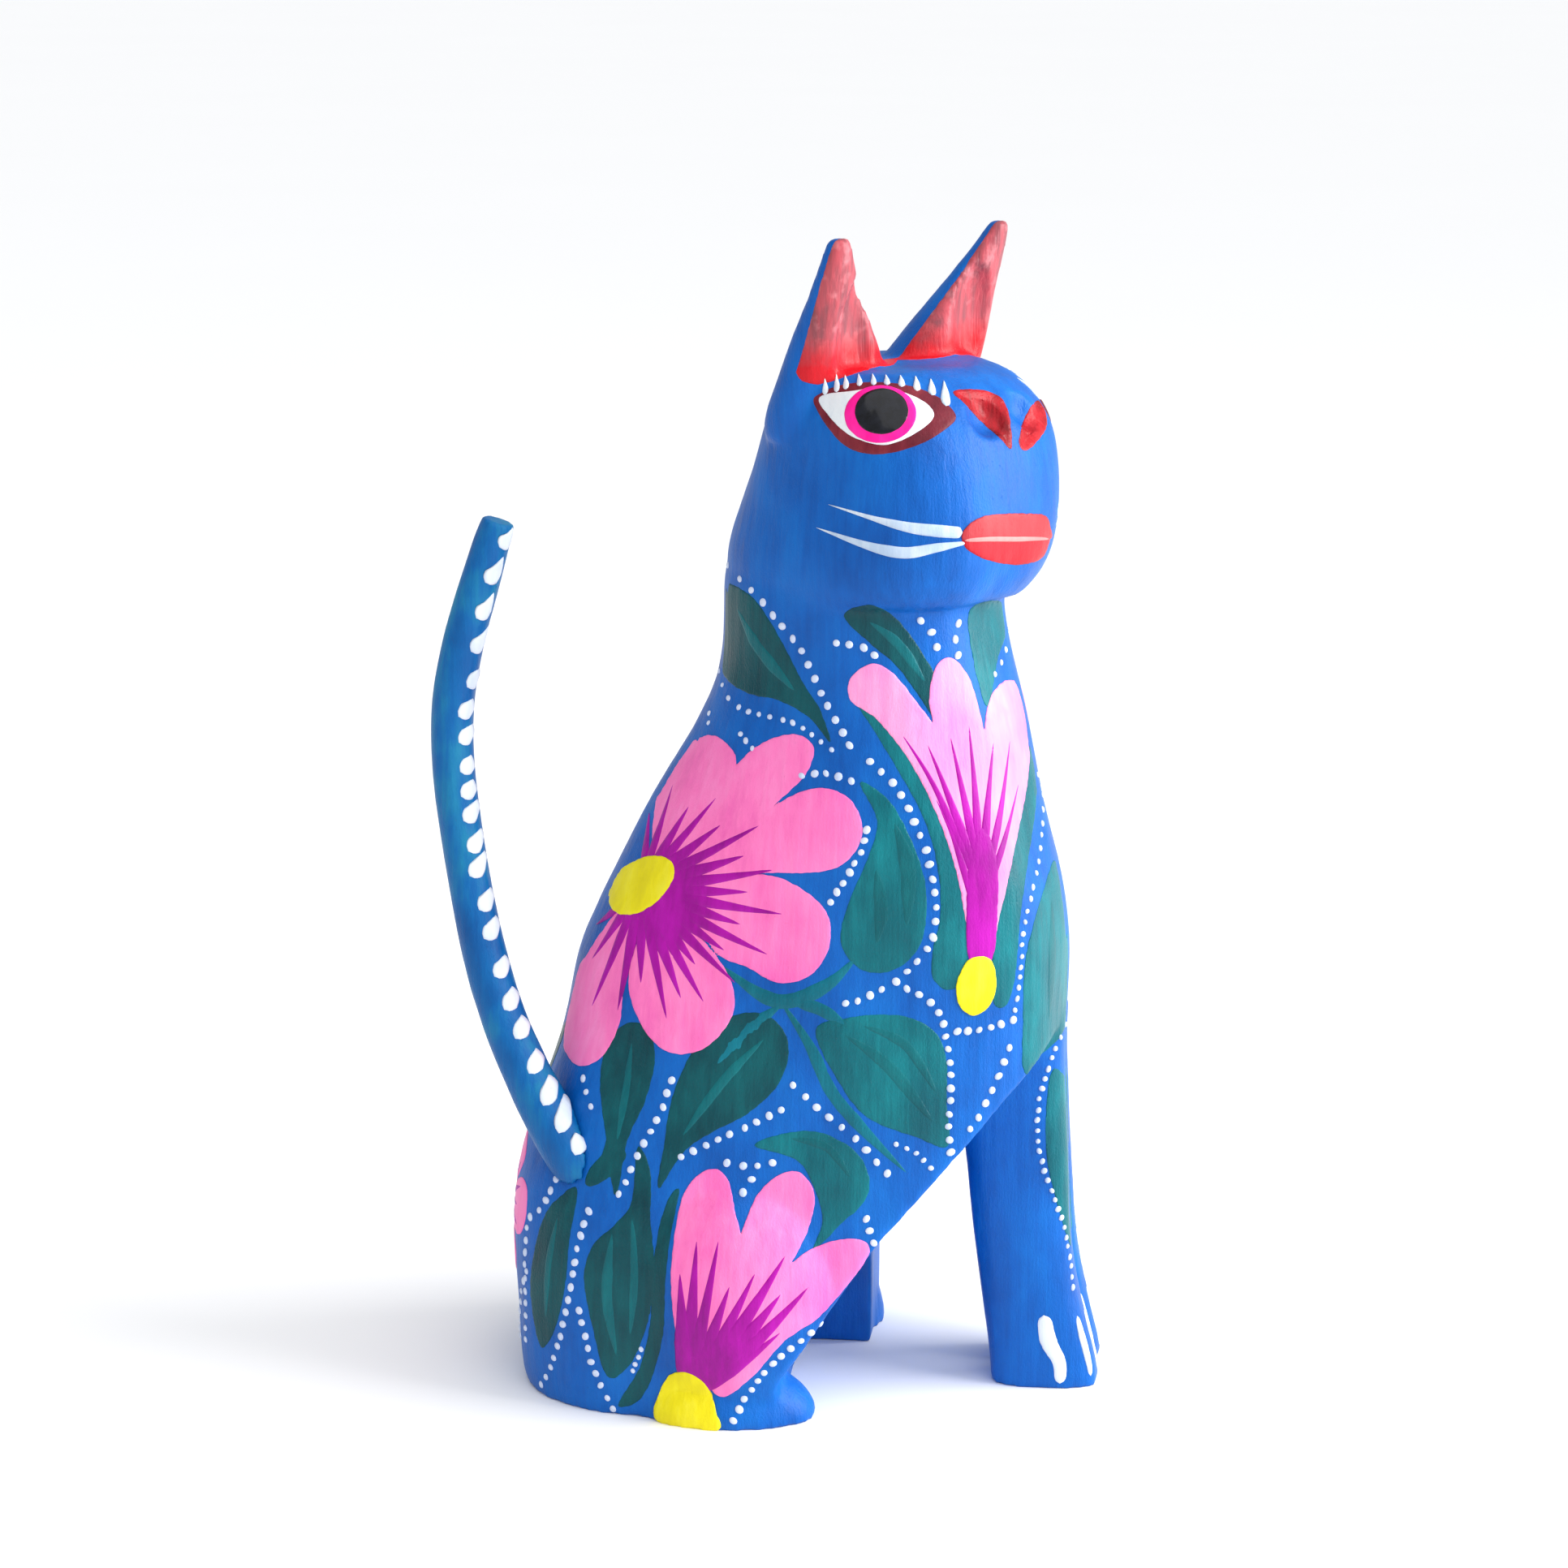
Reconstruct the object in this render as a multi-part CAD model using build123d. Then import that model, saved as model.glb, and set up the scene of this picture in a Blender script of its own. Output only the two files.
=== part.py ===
from build123d import *
from math import copysign, cos, pi, radians, sin
import os

# A seated cat carved in wood, in millimetres. It stands on Z = 0 and faces +X, its left side is +Y
# and +Z is up. Its head is turned to its own right. The carving is laid out about the middle of
# its haunches, and placed() then moves the middle of the whole outline to the origin.

# Ovals of the carving: height, middle x and y, length, width, turn and squareness.
# Turn is how far the oval faces to the cat's right, in degrees. Squareness 2 is an ellipse.
OVAL_POINTS = 16
BODY_OVALS = [
    (0.0, -2.0, 0.0, 86.0, 60.0, 0, 3.2),
    (14.0, -2.0, 0.0, 89.0, 62.0, 0, 3.0),
    (30.0, -1.0, 0.0, 92.0, 60.0, 0, 2.8),
    (45.0, 2.0, 0.0, 93.0, 57.0, 2, 2.6),
    (60.0, 5.0, 0.0, 89.0, 54.0, 5, 2.5),
    (76.0, 7.0, 0.0, 86.0, 51.0, 8, 2.4),
    (90.0, 9.4, 0.0, 79.0, 49.0, 12, 2.4),
    (104.0, 11.5, 0.0, 69.0, 47.0, 16, 2.3),
    (118.0, 14.0, 0.0, 58.0, 44.0, 20, 2.2),
    (132.0, 14.5, 0.0, 50.0, 42.0, 25, 2.2),
    (146.0, 15.0, 0.0, 49.0, 42.0, 30, 2.2),
]
HEAD_TURN = 34
HEAD_OVALS = [
    (141.5, 16.3, 0.3, 49.8, 44.0, HEAD_TURN, 2.3),
    (147.0, 18.0, 0.1, 54.0, 48.0, HEAD_TURN, 2.4),
    (156.0, 20.1, 0.2, 52.4, 49.0, HEAD_TURN, 2.4),
    (166.0, 21.4, 0.0, 47.2, 48.0, HEAD_TURN, 2.4),
    (172.5, 21.1, 0.2, 43.0, 46.0, HEAD_TURN, 2.3),
    (177.0, 19.8, 0.4, 36.6, 41.0, HEAD_TURN, 2.3),
    (179.8, 18.0, 0.5, 27.0, 34.0, HEAD_TURN, 2.1),
]

# Thighs and hind feet: the middle and the half sizes of each egg, both (x, y, z).
EGGS = [
    ((-4.0, -19.5, 20.0), (22.5, 15.2, 27.5)),
    ((-2.0, 19.5, 20.0), (22.5, 15.2, 27.5)),
    ((-7.0, -25.0, 0.0), (15.5, 9.0, 9.5)),
    ((1.0, 23.0, 0.0), (15.5, 10.0, 16.0)),
]

# The belly is one flat slope that rises forward from the knees. Under the knees the right side
# is cut back to the heel of its foot, and the left side is cut straight down.
KNEE = (19.0, 32.0)
BELLY_ANGLE = 49.0
BELLY_REACH = 150.0
RIGHT_NOTCH = (2.5, 8.0)
LEFT_FRONT = 15.0
NOTCH_SPLIT = 11.0

# Front legs: the same ovals, from the paw up into the chest, with each leg's middle y.
LEG_OVALS = [
    (0.0, 47.0, 19.0, 10.6, 3.0),
    (5.0, 46.6, 18.8, 10.6, 2.8),
    (14.0, 44.8, 17.6, 10.3, 2.6),
    (30.0, 42.5, 17.4, 10.2, 2.6),
    (46.0, 41.2, 18.3, 10.3, 2.6),
    (64.0, 39.5, 20.5, 10.6, 2.6),
    (86.0, 37.5, 23.0, 10.6, 2.6),
]
LEG_MIDDLES = {"right": -3.2, "left": 8.9}
LEG_TENON_DIAMETER = 6.0
LEG_TENON_TOP = 74.0
LEG_TENON_LOW = 50.0
LEG_TENON_X = 40.0

# Ears: height, distance to the side, distance forward, width and thickness of each oval.
EAR_SIDES = {"right": -1, "left": 1}
EAR_OVALS = [
    (168.0, 11.5, -8.0, 24.0, 15.0),
    (175.0, 13.0, -6.5, 23.0, 14.0),
    (181.0, 14.2, -4.3, 20.0, 12.5),
    (188.0, 17.0, -1.8, 14.0, 9.2),
    (194.0, 19.2, 0.4, 9.4, 6.2),
    (199.0, 20.8, 2.2, 5.6, 4.4),
    (202.2, 21.6, 3.2, 3.4, 3.0),
]
EAR_SQUARENESS = 2.2
HEAD_MIDDLE = (20.8, 0.5)
EAR_CUP_MIDDLE = (184.5, 15.6, 3.6)
EAR_CUP_HALVES = (4.2, 5.4, 11.5)
EAR_TENON_DIAMETER = 5.0
EAR_TENON_TOP = 184.0
EAR_TENON_LOW = 168.0

# Nostrils: height, distance to the side and forward of the middle of each hollow.
NOSTRIL_MIDDLE = (174.0, 5.2, 22.5)
NOSTRIL_HALVES = (4.0, 4.4, 4.5)

# The tail stick: points of its middle line from tip to root, with the stick's width at each.
TAIL_POINTS = [
    ((-48.0, -6.0, 152.5), 5.6),
    ((-50.5, -6.0, 145.0), 6.6),
    ((-54.5, -6.5, 131.0), 7.2),
    ((-56.5, -7.5, 114.0), 7.4),
    ((-55.0, -9.0, 99.0), 7.4),
    ((-51.5, -11.5, 81.0), 7.6),
    ((-46.0, -14.5, 64.0), 8.0),
    ((-39.5, -17.5, 51.5), 8.8),
    ((-31.5, -18.5, 40.0), 9.6),
]
PEG_DIAMETER = 4.6
PEG_START = 9.0
PEG_REACH = 14.0
PEG_CLEARANCE = 0.06
HOLE_START = 20.0
SEAT_GAP = 0.3
SPACE = 400.0


def oval(height, middle_x, middle_y, length, width, turn, squareness):
    """A flat closed outline, longest along the way that it faces."""
    power = 2 / squareness
    points = []
    for step in range(OVAL_POINTS):
        angle = 2 * pi * step / OVAL_POINTS
        along = length / 2 * copysign(abs(cos(angle)) ** power, cos(angle))
        across = width / 2 * copysign(abs(sin(angle)) ** power, sin(angle))
        points.append((along, across))
    flat = Wire([Spline(*points, periodic=True).edge()])
    return Pos(middle_x, middle_y, height) * Rot(0, 0, -turn) * flat


def lofted(ovals):
    """A smooth solid through ovals."""
    return Solid.make_loft([oval(*row) for row in ovals])


def egg(middle, halves):
    """An ellipsoid."""
    return Pos(*middle) * scale(Sphere(1.0), by=halves)


def round_bar(start, end, diameter):
    """A cylinder from one point to another."""
    way = Vector(*end) - Vector(*start)
    return Solid.make_cylinder(diameter / 2, way.length, Plane(start, z_dir=way))


def on_head(height, sideways, forward):
    """A point given in the head's own directions. Sideways is positive to the cat's left."""
    facing = radians(-HEAD_TURN)
    return (
        HEAD_MIDDLE[0] + forward * cos(facing) - sideways * sin(facing),
        HEAD_MIDDLE[1] + forward * sin(facing) + sideways * cos(facing),
        height,
    )


def turned_egg(middle, halves, turn):
    """An ellipsoid whose long directions turn with the head."""
    return Pos(*middle) * Rot(0, 0, -turn) * scale(Sphere(1.0), by=halves)


def side_prism(outline, start_y, end_y):
    """A solid with an outline in X and Z, between two values of Y."""
    face = make_face(Polyline(*[(x, start_y, z) for x, z in outline], close=True))
    return extrude(face, end_y - start_y, dir=(0, 1, 0))


def belly_line():
    """Two points on the belly's slope, in X and Z: the knee, and one far ahead of the chest."""
    slope = radians(BELLY_ANGLE)
    return KNEE, (KNEE[0] + BELLY_REACH * cos(slope), KNEE[1] + BELLY_REACH * sin(slope))


def under_belly():
    """The open space in front of the haunches."""
    knee, far = belly_line()
    floor = -10.0
    right = side_prism(
        [knee, far, (far[0], floor), (RIGHT_NOTCH[0], floor), RIGHT_NOTCH], -SPACE, NOTCH_SPLIT
    )
    left = side_prism(
        [knee, far, (far[0], floor), (LEFT_FRONT, floor), (LEFT_FRONT, KNEE[1] - 2)],
        NOTCH_SPLIT,
        SPACE,
    )
    return right + left


def carving():
    """The main block before anything is let into it."""
    block = lofted(BODY_OVALS) + lofted(HEAD_OVALS) + egg(*EGGS[0]) + egg(*EGGS[1])
    block = block - under_belly() + egg(*EGGS[2]) + egg(*EGGS[3])
    for side in EAR_SIDES.values():
        height, sideways, forward = NOSTRIL_MIDDLE
        middle = on_head(height, side * sideways, forward)
        block = block - turned_egg(middle, NOSTRIL_HALVES, HEAD_TURN)
    return block & Pos(0, 0, SPACE / 2) * Box(SPACE, SPACE, SPACE)


def ear_blank(side):
    """An ear and the wood below it, before its root is fitted to the head."""
    rows = []
    for height, sideways, forward, width, thickness in EAR_OVALS:
        middle_x, middle_y, _ = on_head(height, EAR_SIDES[side] * sideways, forward)
        rows.append((height, middle_x, middle_y, thickness, width, HEAD_TURN, EAR_SQUARENESS))
    height, sideways, forward = EAR_CUP_MIDDLE
    cup = turned_egg(on_head(height, EAR_SIDES[side] * sideways, forward), EAR_CUP_HALVES, HEAD_TURN)
    return lofted(rows) - cup


def ear_tenon(side):
    """The round tenon that goes from an ear down into the head."""
    _, low_side, low_forward, _, _ = EAR_OVALS[0]
    _, top_side, top_forward, _, _ = EAR_OVALS[2]
    low = on_head(EAR_TENON_LOW, EAR_SIDES[side] * low_side, low_forward)
    top = on_head(EAR_TENON_TOP, EAR_SIDES[side] * top_side, top_forward)
    return round_bar(low, top, EAR_TENON_DIAMETER)


def leg_blank(side):
    """A front leg up to the belly's slope."""
    rows = []
    for height, middle_x, length, width, squareness in LEG_OVALS:
        rows.append((height, middle_x, LEG_MIDDLES[side], length, width, 0, squareness))
    return lofted(rows) & under_belly()


def leg_tenon(side):
    """The round tenon that goes from a front leg up into the chest."""
    foot = (LEG_TENON_X, LEG_MIDDLES[side])
    return round_bar((*foot, LEG_TENON_LOW), (*foot, LEG_TENON_TOP), LEG_TENON_DIAMETER)


def tail_line():
    """The tail's middle line, from its tip to inside the rump."""
    return Spline(*[point for point, _ in TAIL_POINTS])


def tail_axis():
    """The root's place on the tail's line, and the way that the peg points."""
    line = tail_line()
    return line @ 1, line % 1


def tail_stick():
    """The curved stick, a smooth solid through round outlines square to its line."""
    line = tail_line()
    outlines = []
    for point, width in TAIL_POINTS:
        tangent = line.tangent_at(line.param_at_point(point))
        outlines.append(Wire.make_circle(width / 2, Plane(point, z_dir=tangent)))
    return Solid.make_loft(outlines)


def tail_bar(diameter, start, reach):
    """A round bar on the peg's axis, from a distance outside the root to a depth past it."""
    root, way = tail_axis()
    return round_bar(root - way * start, root + way * reach, diameter)


def assembly():
    """Every piece by name, fitted together."""
    block = carving()
    pieces = {}
    for side in EAR_SIDES:
        pieces[f"ear_{side}"] = ear_blank(side) - block + ear_tenon(side)
        pieces[f"front_leg_{side}"] = leg_blank(side) + leg_tenon(side)
    _, way = tail_axis()
    out = way * -SEAT_GAP
    peg = tail_bar(PEG_DIAMETER, PEG_START, PEG_REACH)
    pieces["tail"] = tail_stick() - Pos(out.X, out.Y, out.Z) * block + peg
    for side in EAR_SIDES:
        block = block - ear_tenon(side) - leg_tenon(side)
    hole_diameter = PEG_DIAMETER + 2 * PEG_CLEARANCE
    pieces["torso_block"] = block - tail_bar(hole_diameter, HOLE_START, PEG_REACH + 1)
    return pieces


def placed(pieces):
    """The pieces moved so that the middle of their outline is over the origin."""
    box = Compound(children=[piece.solids()[0] for piece in pieces.values()]).bounding_box()
    middle = box.center()
    return {name: Pos(-middle.X, -middle.Y, 0) * piece for name, piece in pieces.items()}


if __name__ == "__main__":
    os.makedirs("parts", exist_ok=True)
    for name, piece in placed(assembly()).items():
        export_step(piece, f"parts/{name}.step")
    print("The tail pulls out along", tail_axis()[1] * -1)
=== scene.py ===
"""The looks of a carved and painted wooden cat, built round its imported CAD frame.

Lengths are in millimetres wherever paint is laid out, and MM turns them into Blender's metres.
Paint is laid out as seen square from the cat's right side: (across, up), where across runs
towards the cat's front along SIDE_ACROSS and up is the height over the ground.
"""
import random
from math import cos, pi, radians, sin

import bpy
import numpy as np
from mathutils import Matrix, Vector, noise
from mathutils.bvhtree import BVHTree


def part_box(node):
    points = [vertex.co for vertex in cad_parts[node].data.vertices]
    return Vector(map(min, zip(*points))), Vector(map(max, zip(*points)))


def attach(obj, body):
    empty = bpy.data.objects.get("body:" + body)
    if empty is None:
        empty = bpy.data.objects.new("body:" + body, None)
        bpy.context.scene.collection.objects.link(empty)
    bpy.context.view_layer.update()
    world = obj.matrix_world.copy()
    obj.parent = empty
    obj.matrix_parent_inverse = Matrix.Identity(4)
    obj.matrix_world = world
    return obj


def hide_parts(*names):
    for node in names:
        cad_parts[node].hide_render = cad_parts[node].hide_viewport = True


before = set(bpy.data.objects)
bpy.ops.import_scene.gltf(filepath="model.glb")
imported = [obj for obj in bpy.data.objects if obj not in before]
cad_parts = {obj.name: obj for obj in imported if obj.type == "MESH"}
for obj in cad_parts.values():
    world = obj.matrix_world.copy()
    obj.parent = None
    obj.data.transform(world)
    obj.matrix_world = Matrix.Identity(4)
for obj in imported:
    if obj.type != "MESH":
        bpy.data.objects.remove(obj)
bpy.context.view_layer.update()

MM = 0.001
RANDOM = random.Random(7)

# The side view that the body's paint is laid out in, and the tilt of the head's.
SIDE_ANGLE = radians(6.0)
HEAD_TILT = radians(13.0)

# The head faces to the cat's right of the body. Its left half mirrors its right half.
HEAD_MIDDLE = np.array([22.6, 0.5, 0.0])
HEAD_TURN = radians(34.0)
HEAD_FACING = np.array([cos(HEAD_TURN), -sin(HEAD_TURN), 0.0])
HEAD_LEFT = np.array([sin(HEAD_TURN), cos(HEAD_TURN), 0.0])

# The camera, in metres and radians. It looks at a point this far forward of the torso's back end.
CAMERA_AIM = 0.0473
CAMERA_DISTANCE = 0.688
CAMERA_HEIGHT = 0.265
CAMERA_PITCH = 0.22690
LENS = 93.5
SENSOR_WIDTH = 36.0

FLOOR_REACH = 60.0

# The size of the even facets that the skins are made again with, in metres.
SKIN_VOXEL = 0.00075
TAIL_VOXEL = 0.0005

# How high each coat of paint stands, in millimetres.
LEAF_COAT = 0.06
FIRST_COAT = 0.14
SECOND_COAT = 0.24
THIRD_COAT = 0.34
# How far its underside is sunk in the wood, how wide its rounded edge is, and its thickness there.
SUNK = 0.12
EDGE_WIDTH = 0.5
EDGE_RISE = 0.03
# How far round a film its part of the skin is made finer.
FILM_MARGIN = 1.6
# Paint narrows by this much for each unit that the skin faces a chart less than SQUARE_ENOUGH.
TURNED_AWAY_LOSS = 14.0
SQUARE_ENOUGH = 0.3
NOSTRIL_DEPTH = 0.8
NOSTRIL_SLOPE = 2.2
# How much nearer to a limb than to the torso the skin has to be, to be cut off as the limb's.
LIMB_MARGIN = 0.25
# How tall the knife facets and the wood's raised grain stand.
SKIN_FACETS = 0.22
SKIN_GRAIN = 0.07
TAIL_FACETS = 0.10
# The space between the places that a brush stroke follows, and the fewest that make one.
STROKE_STEP = 0.45
SHORTEST_STROKE = 4
# The dots' widths, the spacing under which a row's dots are small, and how high they stand.
SMALL_DOT, LARGE_DOT = 1.05, 1.35
CLOSE_SPACING = 2
DOT_BASE, DOT_RISE = 0.02, 0.3
# What a field holds where no paint comes near, and a distance farther out than the whole cat.
FAR_OUTSIDE = -5.0
VIEWER_DISTANCE = 200.0


# ---------------------------------------------------------------- meshes as arrays

def arrays_of(obj):
    """The points, in millimetres, and the triangles of an object with its modifiers."""
    shown = obj.evaluated_get(bpy.context.evaluated_depsgraph_get())
    mesh = shown.to_mesh()
    mesh.calc_loop_triangles()
    points = np.empty(len(mesh.vertices) * 3)
    mesh.vertices.foreach_get("co", points)
    corners = np.empty(len(mesh.loop_triangles) * 3, np.int32)
    mesh.loop_triangles.foreach_get("vertices", corners)
    shown.to_mesh_clear()
    return points.reshape(-1, 3) / MM, corners.reshape(-1, 3)


def new_object(name, data):
    """An object in the scene that shows a mesh, a light or a camera."""
    made = bpy.data.objects.new(name, data)
    bpy.context.scene.collection.objects.link(made)
    return made


def new_piece(name, points, faces, material, body="carving"):
    """A shown piece from points in millimetres, riding on a body."""
    mesh = bpy.data.meshes.new(name)
    mesh.from_pydata((np.asarray(points) * MM).tolist(), [], [list(map(int, f)) for f in faces])
    mesh.validate()
    mesh.polygons.foreach_set("use_smooth", [True] * len(mesh.polygons))
    mesh.materials.append(material)
    piece = new_object(name, mesh)
    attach(piece, body)
    return piece


def unit(vectors):
    """Vectors, each made one long."""
    return vectors / np.maximum(np.linalg.norm(vectors, axis=-1, keepdims=True), 1e-12)


def point_normals(points, triangles):
    """The smooth normal at each point."""
    a, b, c = (points[triangles[:, i]] for i in range(3))
    face = np.cross(b - a, c - a)
    normals = np.zeros_like(points)
    for i in range(3):
        np.add.at(normals, triangles[:, i], face)
    return unit(normals)


def remeshed(nodes, voxel, rounds):
    """One even, lightly rounded skin round CAD nodes: its points and triangles."""
    points, triangles, count = [], [], 0
    for name in nodes:
        some, corners = arrays_of(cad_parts[name])
        points.append(some)
        triangles.append(corners + count)
        count += len(some)
    mesh = bpy.data.meshes.new("rough")
    mesh.from_pydata((np.concatenate(points) * MM).tolist(), [], np.concatenate(triangles).tolist())
    rough = new_object("rough", mesh)
    skin = rough.modifiers.new("skin", "REMESH")
    skin.mode = "VOXEL"
    skin.voxel_size = voxel
    smooth = rough.modifiers.new("smooth", "SMOOTH")
    smooth.factor = 0.5
    smooth.iterations = rounds
    found = arrays_of(rough)
    bpy.data.objects.remove(rough)
    bpy.data.meshes.remove(mesh)
    return found


class Surface:
    """A skin with its normals, and ways to find places on it."""

    def __init__(self, points, triangles):
        self.points = points
        self.triangles = triangles
        self.normals = point_normals(points, triangles)
        self.tree = BVHTree.FromPolygons(points.tolist(), triangles.tolist())

    def from_side(self, across, up, chart):
        """The place on the skin that a chart's (across, up) falls on, and its normal."""
        place, _, index, _ = self.tree.ray_cast(*map(Vector, chart.sight(across, up)))
        if place is None:
            return None
        return np.array(place), unit(self.normals[self.triangles[index]].mean(0))


class Chart:
    """A flat view of the cat that paint is laid out in, from its right side unless angle says
    otherwise, and maybe tilted down. For the cat's left half, it shows the mirror image."""

    def __init__(self, half="right", tilt=0.0, middle=np.zeros(3), left=np.array([0.0, 1.0, 0.0]),
                 angle=SIDE_ANGLE):
        self.half, self.middle, self.left = half, middle, left
        self.across = np.array([cos(angle), sin(angle), 0.0])
        back = np.array([sin(angle), -cos(angle), 0.0])
        upright = np.array([0.0, 0.0, 1.0])
        self.towards = back * cos(tilt) + upright * sin(tilt)
        self.up = upright * cos(tilt) - back * sin(tilt)

    def mirrored(self, vectors):
        """Vectors, mirrored where the chart is for the cat's left half."""
        if self.half == "right":
            return vectors
        return vectors - 2 * (vectors @ self.left)[:, None] * self.left

    def seen(self, points, normals):
        """Each point's (across, up), and how squarely it faces the viewer."""
        places = self.mirrored(points - self.middle) + self.middle
        flat = np.stack([places @ self.across, places @ self.up], 1)
        return flat, self.mirrored(normals) @ self.towards

    def sight(self, across, up):
        """The start and the way of the line of sight at (across, up)."""
        start = self.across * across + self.up * up + self.towards * VIEWER_DISTANCE
        if self.half == "right":
            return start, -self.towards
        start = start - 2 * ((start - self.middle) @ self.left) * self.left
        return start, -(self.towards - 2 * (self.towards @ self.left) * self.left)


def head_chart(half):
    """The tilted view of the head."""
    return Chart(half, HEAD_TILT, HEAD_MIDDLE, HEAD_LEFT)


RIGHT = Chart()
LEFT = Chart("left")
SIDES = (("right", RIGHT), ("left", LEFT))
BACK = Chart(angle=radians(-90.0))
FRONT = Chart(angle=radians(90.0))


# ---------------------------------------------------------------- outlines and clipping

def curve_through(points, steps=6, closed=True):
    """A smooth line through points, by Catmull and Rom's formula."""
    points = np.asarray(points, float)
    count = len(points)
    found = []
    spans = count if closed else count - 1
    for i in range(spans):
        if closed:
            a, b, c, d = (points[(i + k) % count] for k in (-1, 0, 1, 2))
        else:
            a, b, c, d = (points[min(max(i + k, 0), count - 1)] for k in (-1, 0, 1, 2))
        for step in range(steps):
            t = step / steps
            found.append(
                0.5 * (2 * b + (c - a) * t + (2 * a - 5 * b + 4 * c - d) * t**2
                       + (3 * b - a - 3 * c + d) * t**3)
            )
    if not closed:
        found.append(points[-1])
    return np.array(found)


def inside_by(flat, outline):
    """How far inside a closed outline each flat point lies, and under 0 outside it."""
    starts, ends = outline, np.roll(outline, -1, 0)
    ways = ends - starts
    lengths = np.maximum((ways**2).sum(1), 1e-12)
    best = np.full(len(flat), 1e9)
    within = np.zeros(len(flat), bool)
    for start, end, way, length in zip(starts, ends, ways, lengths):
        offset = flat - start
        t = np.clip(offset @ way / length, 0, 1)
        best = np.minimum(best, ((offset - t[:, None] * way) ** 2).sum(1))
        crosses = (start[1] > flat[:, 1]) != (end[1] > flat[:, 1])
        rise = np.where(way[1] == 0, 1e-12, way[1])
        within ^= crosses & (flat[:, 0] < start[0] + way[0] * (flat[:, 1] - start[1]) / rise)
    return np.where(within, 1, -1) * np.sqrt(best)


def chart_field(chart, outlines):
    """A field over the skin that is over 0 inside any of the outlines, on the side that the chart
    sees. Paint narrows to a rounded end where the skin turns away from the chart."""
    curves = [curve_through(outline) for outline in outlines]
    low = np.min([c.min(0) for c in curves], 0) - 3
    high = np.max([c.max(0) for c in curves], 0) + 3

    def field(points, normals):
        flat, facing = chart.seen(points, normals)
        near = ((flat > low) & (flat < high)).all(1) & (facing > -0.2)
        values = np.full(len(points), FAR_OUTSIDE)
        if near.any():
            held = np.max([inside_by(flat[near], c) for c in curves], 0)
            values[near] = held - TURNED_AWAY_LOSS * np.clip(SQUARE_ENOUGH - facing[near], 0, None)
        return values

    return field


def renumbered(triangles, count):
    """The points that triangles use, out of count, and each point's new number among them."""
    used = np.unique(triangles)
    numbers = np.full(count, -1)
    numbers[used] = np.arange(len(used))
    return used, numbers


def clipped(points, triangles, values, carried):
    """The part of a mesh where values are over 0, cut along their zero line. carried is a list of
    arrays that hold something for each point. Returns points, triangles, rim edges and carried."""
    inside = values > 0
    count = inside[triangles].sum(1)
    kept = [tuple(t) for t in triangles[count == 3]]
    extra, made, rim = [], {}, []

    def cut(a, b):
        key = (min(a, b), max(a, b))
        if key not in made:
            t = np.clip(values[a] / (values[a] - values[b]), 0.03, 0.97)
            made[key] = len(points) + len(extra)
            extra.append((a, b, t))
        return made[key]

    for triangle in triangles[(count == 1) | (count == 2)]:
        lone = next(i for i in range(3) if inside[triangle[i]] != inside[triangle[i - 1]]
                    and inside[triangle[i]] != inside[triangle[(i + 1) % 3]])
        a, b, c = (int(triangle[(lone + k) % 3]) for k in range(3))
        if inside[a]:
            ab, ac = cut(a, b), cut(a, c)
            kept.append((a, ab, ac))
            rim.append((ab, ac))
        else:
            ba, ca = cut(b, a), cut(c, a)
            kept.append((ba, b, c))
            kept.append((ba, c, ca))
            rim.append((ca, ba))
    arrays = [points, *carried]
    if extra:
        a, b, t = (np.array(column) for column in zip(*extra))
        t = t[:, None]
        arrays = [np.concatenate([x, x[a] * (1 - t) + x[b] * t]) for x in arrays]
    kept = np.array(kept, int).reshape(-1, 3)
    used, numbers = renumbered(kept, len(arrays[0]))
    rim = np.array(rim, int).reshape(-1, 2)
    return arrays[0][used], numbers[kept], numbers[rim], [x[used] for x in arrays[1:]]


def refined(points, triangles, normals):
    """Each triangle divided into four."""
    made, extra = {}, []

    def middle(a, b):
        key = (min(a, b), max(a, b))
        if key not in made:
            made[key] = len(points) + len(extra)
            extra.append(key)
        return made[key]

    found = []
    for a, b, c in triangles.tolist():
        ab, bc, ca = middle(a, b), middle(b, c), middle(c, a)
        found += [(a, ab, ca), (ab, b, bc), (ca, bc, c), (ab, bc, ca)]
    a, b = np.array(extra).T
    points = np.concatenate([points, (points[a] + points[b]) / 2])
    normals = np.concatenate([normals, (normals[a] + normals[b]) / 2])
    return points, np.array(found), normals


def paint_film(name, surface, field, coat, material, base=0.0, ragged=0.12):
    """A thin coat of paint on a skin where a field is over 0: a closed shell that rises from base
    at its rounded edge to coat."""
    values = field(surface.points, surface.normals)
    some = surface.triangles[(values[surface.triangles] > -FILM_MARGIN).any(1)]
    used, numbers = renumbered(some, len(surface.points))
    points, triangles, normals = refined(surface.points[used], numbers[some], surface.normals[used])
    values = field(points, normals)
    wobble = np.array([noise.noise(Vector(p) * 0.9) for p in points.tolist()])
    values = values + ragged * wobble
    points, triangles, rim, (values, normals) = clipped(
        points, triangles, values, [values[:, None], normals]
    )
    normals = unit(normals)
    rise = np.clip(values / EDGE_WIDTH, 0, 1)
    low = base + EDGE_RISE
    height = low + (coat - low) * (1 - (1 - rise) ** 2)
    top = points + normals * height
    bottom = points - normals * SUNK
    count = len(points)
    faces = [*triangles.tolist(), *(triangles[:, ::-1] + count).tolist()]
    faces += [(b, a, a + count, b + count) for a, b in rim.tolist()]
    new_piece(name, np.concatenate([top, bottom]), faces, material)


# ---------------------------------------------------------------- strokes and dots

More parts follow.
